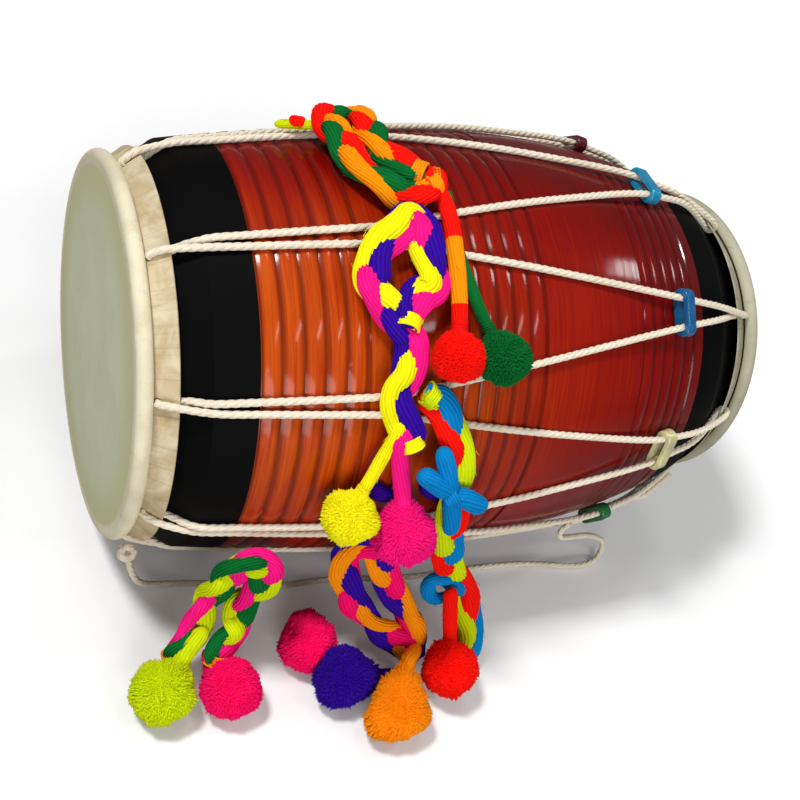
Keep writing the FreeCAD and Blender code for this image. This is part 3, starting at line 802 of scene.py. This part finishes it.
def wood_material():
    """Red-orange varnish over turned wood, with matt black bands at both ends."""
    n = Look("varnished_wood")
    x, _, across, above = round_place(n)
    station = x + drum_length / 2
    streak = n.noise(n.join(x * 520.0, across * 2.6, above * 2.6), 1.0, 4.0, 0.62)
    cloud = n.noise(n.place(), 7.0, 3.0, 0.55)
    # painted light and shade: orange where the barrel faces front on the bass side, painted shade running to
    # deep red on top and below; darker too towards the treble side
    front = (above * 0.45 + across * -0.70) * 2.0 + -0.83
    level = n.math("MAXIMUM", front - n.span(station, 0.14, 0.56) * 1.30, -0.72)
    level = level + (cloud - 0.5) * 0.9 + (streak - 0.5) * 1.1
    wood = n.ramp(level * 0.5 + 0.5, [
        (0.10, linear(90, 3, 1)),
        (0.38, linear(126, 4, 1)),
        (0.58, linear(148, 24, 1)),
        (0.76, linear(166, 44, 3)),
        (0.95, linear(194, 78, 10)),
    ])
    # painted shade darkens the grooves between beads
    groove_shade = None
    for first, pitch, count in bead_groups:
        phase = (station - first) / pitch
        inside = n.math("GREATER_THAN", phase, -0.1) * n.math("LESS_THAN", phase, count + 0.1)
        near = n.math("ABSOLUTE", phase - n.math("ROUND", phase))
        line = n.span(near, 0.03, 0.26, 1.0, 0.0) * inside
        groove_shade = n.math("MAXIMUM", groove_shade, line) if groove_shade else line
    wood = n.mix(groove_shade * 0.62, wood, linear(72, 6, 3))
    at_bass = n.math("LESS_THAN", station, bass_band_station)
    at_treble = n.math("GREATER_THAN", station, treble_band_station)
    black = n.math("MAXIMUM", at_bass, at_treble)
    soot = n.mix(n.span(cloud, 0.3, 0.7), linear(5, 5, 5), linear(11, 10, 10))
    n.bump(streak * 0.5 + cloud * 0.2, 0.12, wood_relief)
    coat = n.math("SUBTRACT", 1.0, black) * n.span(streak, 0.3, 0.7, 0.80, 0.34)
    return n.finish(n.mix(black, wood, soot), 0.55, Coat_Weight=coat, Specular_IOR_Level=0.04,
                    Coat_Roughness=0.12, Coat_IOR=1.40)


def hide_material(name, mouth_radius, face, rim):
    """Stretched hide: greenish and flat over the mouth, cream where it laps the hoop."""
    n = Look(name)
    radius = round_place(n)[1]
    mottle = n.noise(n.place(), 13.0, 5.0, 0.55, 0.4)
    fine = n.noise(n.place(), 260.0, 3.0, 0.6)
    veins = n.noise(n.place(), 42.0, 6.0, 0.7, 1.2)
    flat = n.mix(n.span(mottle, 0.35, 0.7), linear(*face), linear(*face, 8))
    flat = n.mix(n.span(veins, 0.54, 0.64, 0.0, 0.12), flat, linear(*face, -26))
    worn = radius / mouth_radius + (mottle - 0.5) * 0.3
    flat = n.mix(n.span(worn, 0.70, 1.02, 0.0, 0.55), flat, linear(face[0] - 14, face[1] - 20, face[2] - 50))
    lap = n.mix(n.span(mottle, 0.3, 0.75), linear(*rim), linear(*rim, -26))
    lap = n.mix(n.span(veins, 0.50, 0.66, 0.0, 0.35), lap, linear(rim[0] - 34, rim[1] - 42, rim[2] - 62))
    edge = n.span(radius, mouth_radius + lap_start, mouth_radius + lap_full)
    n.bump(fine * 0.5 + veins, 0.30, hide_relief)
    return n.finish(n.mix(edge, flat, lap), n.span(fine, 0.3, 0.7, 0.5, 0.62), Specular_IOR_Level=0.25)


def collar_material(name, base, patch):
    """Dried hide of the collars, mottled with white patches and fine cracks."""
    n = Look(name)
    broad = n.noise(n.place(), 34.0, 4.0, 0.62, 0.6)
    fine = n.noise(n.place(), 330.0, 3.0, 0.6)
    _, _, across, above = round_place(n)
    cracks = n.noise(n.join(across * 46.0, above * 46.0, 0.0), 1.0, 3.0, 0.6)
    colour = n.mix(n.span(broad, 0.40, 0.72), linear(*base), linear(*patch))
    colour = n.mix(n.span(broad, 0.28, 0.46, 0.55, 0.0), colour, linear(*base, -40))
    colour = n.mix(n.span(cracks, 0.50, 0.74, 0.0, 0.35), colour, linear(*base, -60))
    n.bump(fine * 0.4 + broad, 0.5, collar_relief)
    return n.finish(colour, 0.72, Specular_IOR_Level=0.3)


def plastic_material(name, colour):
    """Glossy moulded plastic with faint flow streaks and scuffs."""
    n = Look(name)
    flow = n.noise(n.place(), 60.0, 4.0, 0.6, 0.8)
    scuff = n.noise(n.place(), 700.0, 2.0, 0.5)
    base = linear(*colour)
    tint = n.mix(n.span(flow, 0.35, 0.7), dimmed(base, 0.72), base)
    n.bump(flow + scuff * 0.15, 0.06, plastic_relief)
    return n.finish(tint, n.span(scuff, 0.35, 0.8, 0.12, 0.26), Specular_IOR_Level=0.5, Coat_Weight=0.4,
                    Coat_Roughness=0.08)


def plain_material(name, low, high, scale, roughness):
    """Two close colours in a cloudy mix, for parts that are hardly seen."""
    n = Look(name)
    cloud = n.noise(n.place(), scale, 4.0, 0.6)
    n.bump(cloud, 0.3, plain_relief)
    return n.finish(n.mix(n.span(cloud, 0.35, 0.65), linear(*low), linear(*high)), roughness)


rope_look = rope_material()
yarn_colours = {
    "red": (255, 18, 4),
    "orange": (255, 146, 4),
    "yellow": (246, 236, 14),
    "lime": (204, 222, 4),
    "green": (2, 104, 42),
    "blue": (0, 128, 196),
    "indigo": (48, 4, 150),
    "magenta": (250, 20, 132),
    "pink": (255, 8, 106),
}
yarn_order = list(yarn_colours)
yarn_looks = [yarn_material(f"yarn_{key}", colour) for key, colour in yarn_colours.items()]


# Rope

def lay_rope(heap, line, start=0.0):
    """Strands laid round each other along a line."""
    side, out = carried_frame(line)
    run = reach_along(line)
    offset = rope_diameter * strand_offset_share
    thick = rope_diameter * strand_radius_share
    for k in range(rope_strands):
        turn = 2 * math.pi * (run / rope_pitch + k / rope_strands) + start
        around = side * np.cos(turn)[:, None] + out * np.sin(turn)[:, None]
        centre = line + around * offset
        own_side, own_out = facing_frame(centre, around)
        heap.tube(centre, own_out, own_side, thick, thick * strand_height_share)


def build_rope(name, node, line, start=0.0):
    """A rope along a line, in place of a CAD node."""
    heap = Heap()
    lay_rope(heap, line, start)
    return heap.build(name, [rope_look], node)


def strand_route(bass_index, side, over):
    """Control points of one strand of the lacing, from the bass hook to the treble hook."""
    out_by = rope_lift if over else -(collar_thickness + rope_lift)
    in_by = -(collar_thickness + rope_lift)
    turn = (collar_thickness + 2 * rope_lift) / 2
    lead = over_lead if over else under_lead
    bass_hook = bass_first_angle + angle_step * bass_index
    treble_hook = bass_hook + side * angle_step / 2

    def hook(mouth_radius, angle, lead_angle, is_treble):
        section = []
        if over:
            section.append((hook_set_back + hook_straight, in_by, angle))
            section.append((hook_set_back - turn, in_by, angle))
            section.append((hook_set_back - turn, out_by, angle))
        section.append((hook_set_back + hook_straight * hook_straight_share, out_by, angle))
        section.append((lead, out_by + (over_edge_lift if over else 0), lead_angle))
        points = []
        for along, out, at in section:
            station, radius = collar_point(mouth_radius, along, out)
            points.append((drum_length - station if is_treble else station, radius, at))
        return points

    section = hook(bass_mouth_radius, bass_hook, bass_hook + (0 if over else side * hook_spread), False)
    lead_station, lead_radius, _ = section[-1]
    corner = barrel_radius(bass_bevel) + rope_lift
    before = bass_bevel - (over_bevel_lead if over else under_bevel_lead)
    share = (bass_bevel - before) / (bass_bevel - lead_station)
    after = bass_bevel + bevel_trail
    course = [
        (before, (corner + bevel_corner_lift) * (1 - share) + lead_radius * share),
        (after, barrel_radius(after) + rope_lift + bevel_corner_lift * bevel_corner_share),
    ]
    for station in np.linspace(bass_bevel + barrel_start, strand_release, barrel_points):
        course.append((station, barrel_radius(station) + rope_lift))
    for station in (ring_entry, (ring_entry + ring_leave) / 2, ring_leave):
        course.append((station, slide_line(station, ring_strand_lift)))
    section += [(station, radius, strand_angle(bass_index, side, station)) for station, radius in course]
    section += reversed(hook(treble_mouth_radius, treble_hook, treble_hook, True))
    return [place(*point) for point in section]


for index in range(lacing_points):
    for side, over, word in ((1, True, "over"), (-1, False, "under")):
        line = spline_line(strand_route(index, side, over), rope_step)
        build_rope(f"rope_{word}_{index + 1}", f"strand_{word}_{index + 1}", line, 1.3 * index + side)

line = spline_line(loose_rope_route, rope_step)
loose_rope = build_rope("rope_loose", "loose_rope", line)
reach_along(line)[-1]


def tail_route():
    """The rope's end: along the pair of strands from the treble collar, then down to the ring."""
    angle = treble_first_angle + angle_step * tail_ring
    over = ring_strand_lift + tail_over_lift
    level = ring_strand_lift - ring_drop
    edge_depth, edge_radius = collar_point(treble_mouth_radius, over_lead, rope_lift)
    edge = drum_length - edge_depth
    section = []
    for station in (edge, (edge + tail_over_station) / 2, tail_over_station):
        share = (station - ring_leave) / (edge - ring_leave)
        radius = slide_line(ring_leave, over) * (1 - share) + (edge_radius + tail_over_lift) * share
        section.append((station, radius))
    for station in (tail_drop_station, (tail_drop_station + tail_bend_station) / 2, tail_bend_station):
        section.append((station, slide_line(station, level)))
    section.append((tail_exit_station, slide_line(tail_exit_station, level) - tail_exit_drop))
    return [place(station, radius, angle) for station, radius in section]


build_rope("rope_tail", "lacing_tail", spline_line(tail_route(), rope_step))

# Knot that starts the loose rope
heap = Heap()
centre = np.array(place(*collar_point(bass_mouth_radius, knot_along, knot_out), knot_angle))
around = np.linspace(0, 2 * math.pi, knot_loop_points)[:, None]
for turn, size in knot_loops:
    plane_a = unit(np.array([math.cos(turn), math.sin(turn) * 0.6, 0.4]))
    plane_b = unit(np.cross(plane_a, [0.2, -0.5, 0.9]))
    loop = centre + plane_a * np.cos(around) * size + plane_b * np.sin(around) * size * knot_loop_share
    lay_rope(heap, loop, turn)
heap.build("rope_knot", [rope_look], "lacing_knot")


# Yarn

def slot_of(colour):
    return yarn_order.index(colour)


def stray_fibres(heap, line, side, out, half_width, half_height, slot, dice, count):
    """Fine stray fibres that stand off a bundle."""
    rows = len(line)
    for _ in range(count):
        first = int(dice.integers(3, rows - 4))
        length = int(dice.integers(3, 6))
        angle = dice.uniform(0, 2 * math.pi)
        spread = dice.uniform(-0.5, 0.5)
        at = np.minimum(rows - 1, first + np.arange(length))
        share = np.arange(length) / length
        turn = angle + spread * share
        rise = 1.0 + 0.35 * share ** 1.5
        wide = half_width[at] * rise * np.cos(turn)
        high = half_height[at] * rise * np.sin(turn)
        points = line[at] + side[at] * wide[:, None] + out[at] * high[:, None]
        fibre_side, fibre_out = carried_frame(points)
        thick = np.linspace(fibre_root_radius, fibre_tip_radius, length)
        heap.tube(points, fibre_side, fibre_out, thick, thick, slot, sides=4)


def bind(heap, spot, ahead, radius, slot, turns=wrap_turns, thick=wrap_yarn_radius):
    """A few turns of yarn wound round a bundle."""
    ahead = unit(np.array(ahead))
    side = square_to(ahead)
    out = np.cross(side, ahead)
    turn = np.linspace(0, 2 * math.pi * turns, wrap_turn_points * turns)[:, None]
    reach = radius + thick * 0.5
    line = spot + ahead * (turn / turn[-1] - 0.5) * turns * thick * wrap_pitch_share
    line = line + side * np.cos(turn) * reach + out * np.sin(turn) * reach
    line_side, line_out = carried_frame(line)
    heap.tube(line, line_side, line_out, thick, thick, slot, sides=8)


def plait(heap, line, colours, turns, wide, seed):
    """Three plump bundles of yarn plaited along a line, with counts of the plait at even shares of it."""
    dice = np.random.default_rng(seed)
    side, out = facing_frame(line, outward(line))
    run = reach_along(line)
    total = run[-1]
    gather = ease(run, 0, plait_gather) * ease(total - run, 0, plait_gather)
    thin = 0.62 + 0.38 * gather
    half_height = bundle_half_height * thin
    turned = np.interp(run, np.linspace(0, total, len(turns)), turns)
    for k, slot in enumerate(colours):
        theta = 2 * math.pi * (turned + k / 3)
        centre = line + side * (wide * np.sin(theta) * (0.35 + 0.65 * gather))[:, None]
        centre = centre - out * (plait_height * np.sin(2 * theta))[:, None]
        own_side, own_out = facing_frame(centre, out - side * (0.30 * np.sin(theta))[:, None])
        ripple = np.sin(2 * math.pi * run / bundle_ripple + dice.uniform(0, 6.28))
        swell = 1 + 0.10 * np.cos(2 * theta) + 0.05 * ripple
        twist = 0.3 * np.sin(theta) + run * bundle_twist_rate + dice.uniform(0, 6.28)
        half_width = bundle_half_width * thin
        heap.tube(centre, own_side, own_out, half_width * swell, half_height, slot,
                  bundle_sides, bundle_flutes, 0.15, twist)
        stray_fibres(heap, centre, own_side, own_out, half_width, half_height, slot, dice, 26)


def pompom(heap, centre, radius, neck_from, slot, seed, bell, corner):
    """A soft ball of cut yarn ends round a core, drawn out by bell into a cone towards its neck.

    The corner is the direction in which the ball bulges, as long as the share it bulges by.
    """
    dice = np.random.default_rng(seed)
    centre = np.array(centre)
    corner = np.array(corner)
    toward = unit(np.array(neck_from) - centre)
    cone = math.asin(1 / bell)

    def reach_of(aim):
        lean = np.arccos(np.clip(aim @ toward, -1, 1))
        drawn = np.where(lean + cone < math.pi / 2, 1 / np.maximum(np.sin(lean + cone), 0.2), 1.0)
        x, y, z = aim[..., 0], aim[..., 1], aim[..., 2]
        lump = 1 + 0.045 * np.sin(4.3 * x + seed) * np.cos(3.7 * y - seed)
        lump = lump + 0.030 * np.sin(7 * z + 2 * seed) + 0.022 * np.sin(11 * x - 9 * y)
        lump = lump + np.linalg.norm(corner) * np.maximum(aim @ unit(corner), 0) ** 7
        return radius * lump * drawn

    def settle(points, floor):
        """The points flattened a little, moved to the ball's place and kept above the floor."""
        points[..., 2] *= pompom_flat_share
        points = points + centre
        points[..., 2] = np.maximum(points[..., 2], floor)
        return points

    number = np.arange(tuft_count) + 0.5
    level = 1 - 2 * number / tuft_count
    turn = number * math.pi * (3 - math.sqrt(5))
    flat = np.sqrt(1 - level ** 2)
    aim = np.stack([flat * np.cos(turn), flat * np.sin(turn), level], axis=1)
    aim = unit(aim + dice.normal(0, 0.03, aim.shape))
    reach = reach_of(aim) * (1 + dice.normal(0, 0.018, tuft_count) + 0.05 * (dice.random(tuft_count) > 0.97))
    x, y, z = aim.T
    clumps = np.stack([np.sin(9 * y + seed), np.sin(8 * z - seed), np.sin(10 * x)], axis=1)
    comb = unit(aim - toward * 0.30 + clumps * 0.14 + dice.normal(0, 0.06, aim.shape))
    base = aim * (reach * 0.80)[:, None]
    tip = aim * (reach * 0.88)[:, None] + comb * (reach * 0.13)[:, None]
    middle = base * 0.45 + tip * 0.55 + aim * (reach * 0.012)[:, None]
    across = unit(np.cross(comb, dice.normal(0, 1, aim.shape)))
    cross = np.cross(unit(tip - base), across)
    around = circle_angles(tuft_sides)[:, None]
    rim = across[:, None] * np.cos(around) + cross[:, None] * np.sin(around)
    lower = base[:, None] + rim * tuft_base_radius
    upper = middle[:, None] + rim * tuft_middle_radius
    grid = np.concatenate([lower, upper, tip[:, None]], axis=1)
    grid = settle(grid, tuft_floor_gap + dice.random((tuft_count, 1)) * tuft_floor_ruffle)
    each = grid.shape[1]
    first = np.arange(tuft_count)[:, None, None] * each
    quads = first + wrap_faces(2, tuft_sides)[0]
    here = np.arange(tuft_sides)
    after = (here + 1) % tuft_sides
    tips = np.full(tuft_sides, each - 1)
    tris = first + np.stack([tuft_sides + here, tuft_sides + after, tips], axis=1)
    own = dice.uniform(0.80, 1.08, tuft_count) * (1 + 0.06 * clumps[:, 0])
    # painted shade at the roots of the tufts and painted light at their tips; own is a random tone of each
    # tuft
    shade = np.array([0.66] * tuft_sides + [0.94] * tuft_sides + [1.04])
    fibres = np.empty((tuft_count, each, 3))
    fibres[:, :, 0] = np.arange(each) * tuft_fibre_step
    fibres[:, :, 1] = dice.random((tuft_count, 1))
    fibres[:, :, 2] = dice.random((tuft_count, 1))
    heap.add(grid.reshape(-1, 3), quads.reshape(-1, 4), tris.reshape(-1, 3), slot, fibres.reshape(-1, 3),
             (own[:, None] * shade).reshape(-1))
    # the core closes the gaps between the tufts, its tone of 0.62 painted shade deep in the ball
    lat = np.linspace(core_pole_angle, math.pi - core_pole_angle, core_rows)[:, None]
    lon = circle_angles(core_sides)
    face = np.stack([np.sin(lat) * np.cos(lon), np.sin(lat) * np.sin(lon), np.cos(lat) + 0 * lon], axis=2)
    core = settle(face * (reach_of(face) * core_share)[:, :, None], core_floor_gap)
    core = np.concatenate([core.reshape(-1, 3), core[[0, -1]].mean(axis=1)])
    quads, tris = wrap_faces(core_rows, core_sides)
    heap.add(core, quads[:, [0, 3, 2, 1]], tris[:, [0, 2, 1]], slot, core * 0.4, np.full(len(core), 0.62))


def neck(heap, route, radius, ball, slot, bands):
    """A bundle of yarn along a route, bound above the ball; bands colour it along its length."""
    line = spline_line(route, yarn_step)
    line = line[np.linalg.norm(line - line[-1], axis=1) > ball * 0.62]
    run = np.linspace(0, 1, len(line))
    profile = 0.96 + 0.10 * np.sin(run * math.pi) - 0.20 * np.exp(-((run - neck_tie_share) / 0.035) ** 2)
    profile = profile + 0.45 * ease(run, 0.93, 1.0)
    start = np.clip(reach_along(line) / (radius * 1.1), 0, 1)
    half_width = radius * profile * np.sqrt(np.maximum(1 - (1 - start) ** 2, 0.004))
    half_height = half_width * 0.92
    side, out = facing_frame(line, outward(line))
    slots = slot
    if bands:
        edges, colours = zip(*bands)
        slots = [slot_of(colours[np.searchsorted(edges, at)]) for at in run[:-1]]
    heap.tube(line, side, out, half_width, half_height, slots, neck_sides, neck_flutes, 0.13, run * 1.4)
    dice = np.random.default_rng(len(line))
    stray_fibres(heap, line, side, out, half_width, half_height, slot, dice, 12)
    row = int(neck_tie_share * (len(line) - 1))
    bind(heap, line[row], tangents(line)[row], radius * 0.84, slot)
    return line


def lobe(heap, points, half, slot, facing=None):
    """A plump loop or arm of yarn along control points, rounded at both ends."""
    line = spline_line(points, lobe_step)
    run = np.linspace(0, 1, len(line))
    swell = np.sqrt(np.clip(1 - np.abs(2 * run - 1) ** 5, 0.02, 1))
    side, out = facing_frame(line, outward(line) if facing is None else unit(np.array([facing])))
    half_width = half[0] * swell
    half_height = half[1] * swell
    heap.tube(line, side, out, half_width, half_height, slot, bundle_sides, bundle_flutes, 0.13, run * 0.8)
    stray_fibres(heap, line, side, out, half_width, half_height, slot, np.random.default_rng(3), 10)


for number, (name, (colour, bell, ball, neck_radius, route)) in enumerate(tassels.items()):
    heap = Heap()
    slot = slot_of(colour)
    corner = pompom_corners.get(name, (0, 0, 0))
    pompom(heap, route[-1], ball, route[-2], slot, pompom_seed + number, bell, corner)
    if name in hanging_tassels:
        made = heap.build(f"yarn_{name}_ball", yarn_looks, name)
        heap = Heap()
        line = neck(heap, route, neck_radius, ball, slot, neck_bands.get(name))
        cord = heap.build(f"yarn_{name}", yarn_looks, name)
        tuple(line[0])
        reach_along(line)[-1]
        continue
    neck(heap, route, neck_radius, ball, slot, None)
    if name == "tassel_magenta":
        for points in indigo_ends:
            lobe(heap, points, indigo_half, slot_of("indigo"))
    if name == "tassel_red_lower":
        lobe(heap, front_loop, front_loop_half, slot_of("blue"))
    heap.build(f"yarn_{name}", yarn_looks, name)

heap = Heap()
for angle, colour in top_knot_loops:
    turn = math.radians(angle)
    reach = np.array([math.cos(turn), math.sin(turn), 0.0]) * top_knot_reach
    lift = np.array([0, 0, top_knot_lift])
    points = [top_knot_centre + reach * by_reach + lift * by_lift for by_reach, by_lift in top_knot_shares]
    lobe(heap, points, top_knot_half, slot_of(colour), upward)
heap.build("yarn_top_knot", yarn_looks, "braid_top_knot")

heap = Heap()
lobe(heap, yarn_tip_route, yarn_tip_half, slot_of("lime"), upward)
lobe(heap, yarn_tip_wrap, yarn_wrap_half, slot_of("red"), upward)
heap.build("yarn_tip_end", yarn_looks, "yarn_tip")

heap = Heap()
for points, half_width, half_height in bow_arms:
    lobe(heap, points, (half_width, half_height), slot_of("blue"), bow_facing)
bind(heap, bow_middle, bow_tie_ahead, bow_tie_radius, slot_of("blue"), tie_turns, bow_tie_yarn_radius)
heap.build("yarn_bow", yarn_looks, "bow_knot")

for name, (colours, tie_colour, carried, turns, route) in braids.items():
    wide = left_plait_reach if name == "braid_left" else plait_reach
    line = spline_line(route, yarn_step)
    run = reach_along(line)
    heap = Heap()
    plait(heap, line, [slot_of(colour) for colour in colours], turns, wide, len(name))
    slot = slot_of(tie_colour)
    for reach in (tie_reach, run[-1] - tie_reach):
        row = int(np.searchsorted(run, reach))
        bind(heap, line[row], tangents(line)[row], tie_radius, slot, tie_turns, tie_yarn_radius)
    made = heap.build(f"yarn_{name}", yarn_looks, name)
    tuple(route[0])


# CAD nodes that stay

def dress(node, material):
    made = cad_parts[node]
    for part in (made if isinstance(made, (list, tuple)) else [made]):
        part.data.materials.clear()
        part.data.materials.append(material)


ring_colours = {
    "maroon": (96, 10, 28),
    "bright_blue": (16, 150, 196),
    "blue": (8, 100, 156),
    "cream": (222, 216, 160),
    "green": (24, 120, 66),
}
ring_order = ("maroon", "bright_blue", "blue", "cream", "green", "blue", "maroon", "cream", "bright_blue")
ring_looks = {key: plastic_material(f"ring_{key}", colour) for key, colour in ring_colours.items()}
dress("shell", wood_material())
dress("bass_skin", hide_material("bass_hide", bass_mouth_radius, (212, 215, 182), (238, 229, 200)))
# painted shade: the treble skin takes a darker copy of the bass hide's colours
dress("treble_skin", hide_material("treble_hide", treble_mouth_radius, (160, 160, 138), (182, 179, 156)))
dress("bass_collar", collar_material("bass_collar_hide", (194, 174, 136), (222, 209, 180)))
# painted shade: the treble collar is coloured darker and greyer than the bass collar
dress("treble_collar", collar_material("treble_collar_hide_painted_shade", (160, 158, 136), (186, 183, 160)))
bamboo = plain_material("bamboo", (176, 140, 84), (206, 172, 112), 80.0, 0.6)
dress("bass_hoop", bamboo)
dress("treble_hoop", bamboo)
dress("bass_paste", plain_material("tuning_paste", (20, 16, 14), (38, 30, 26), 160.0, 0.8))
for index, colour in enumerate(ring_order):
    dress(f"tuning_ring_{index + 1}", ring_looks[colour])

# Floor: lit a little from within where the camera sees it, so that it runs out to white; the glow is weaker
# near the drum, a painted shadow round it
corners = [(x * floor_reach, y * floor_reach, 0) for x, y in ((-1, -1), (1, -1), (1, 1), (-1, 1))]
floor_data = bpy.data.meshes.new("floor")
floor_data.from_pydata(corners, [], [(0, 1, 2, 3)])
floor = add_object("floor", floor_data)
n = Look("floor_pale")
seen = n.camera_ray()
n.finish(n.mix(seen, (0.35, 0.35, 0.35, 1.0), (0.95, 0.95, 0.95, 1.0)), 0.95, Specular_IOR_Level=0.0)
x, y, _ = n.split(n.place())
away = n.math("SQRT", x * x + y * y)
# painted shadow: the glow fades near the drum
strength = seen * (n.span(away, 0.40, 0.95, 0.05, 0.32) + n.span(away, 0.9, 3.2, 0.0, 0.9))
glow = n.fill(n.new("Emission"), {"Color": (1.0, 1.0, 1.0, 1.0), "Strength": strength})
both = n.fill(n.new("AddShader"), enumerate((Value(n, n.shader.outputs[0]), glow)))
n.put(both, n.tree.nodes["Material Output"].inputs["Surface"])
floor_data.materials.append(n.material)

# Surroundings: dim for the object, white for the camera
world = bpy.data.worlds.new("studio")
bpy.context.scene.world = world
world.use_nodes = True
n = Nodes(world.node_tree)
backdrop = n.tree.nodes["Background"]
level = n.fill(n.new("MapRange"), {"Value": n.camera_ray(), "To Min": 0.17, "To Max": 1.0})
n.fill(backdrop, {"Color": (1.0, 1.0, 1.0, 1.0), "Strength": level})

for name, (direction, distance, size, power) in lamps.items():
    data = bpy.data.lights.new(name, "AREA")
    data.shape = "RECTANGLE"
    data.size, data.size_y = size
    data.energy = power
    lamp = add_object(name, data)
    toward = Vector(direction).normalized()
    lamp.location = lamp_aim + toward * distance
    lamp.rotation_mode = "QUATERNION"
    lamp.rotation_quaternion = toward.to_track_quat("Z", "Y")

camera_data = bpy.data.cameras.new("camera")
camera_data.lens = camera_lens
camera_data.sensor_width = camera_sensor
camera = add_object("camera", camera_data)
camera_up = camera_back.cross(camera_right).normalized()
turned_frame = Matrix((camera_right, camera_up, camera_back)).transposed().to_4x4()
camera.matrix_world = Matrix.Translation(camera_spot) @ turned_frame
bpy.context.scene.camera = camera
bpy.context.scene.view_settings.view_transform = "Standard"
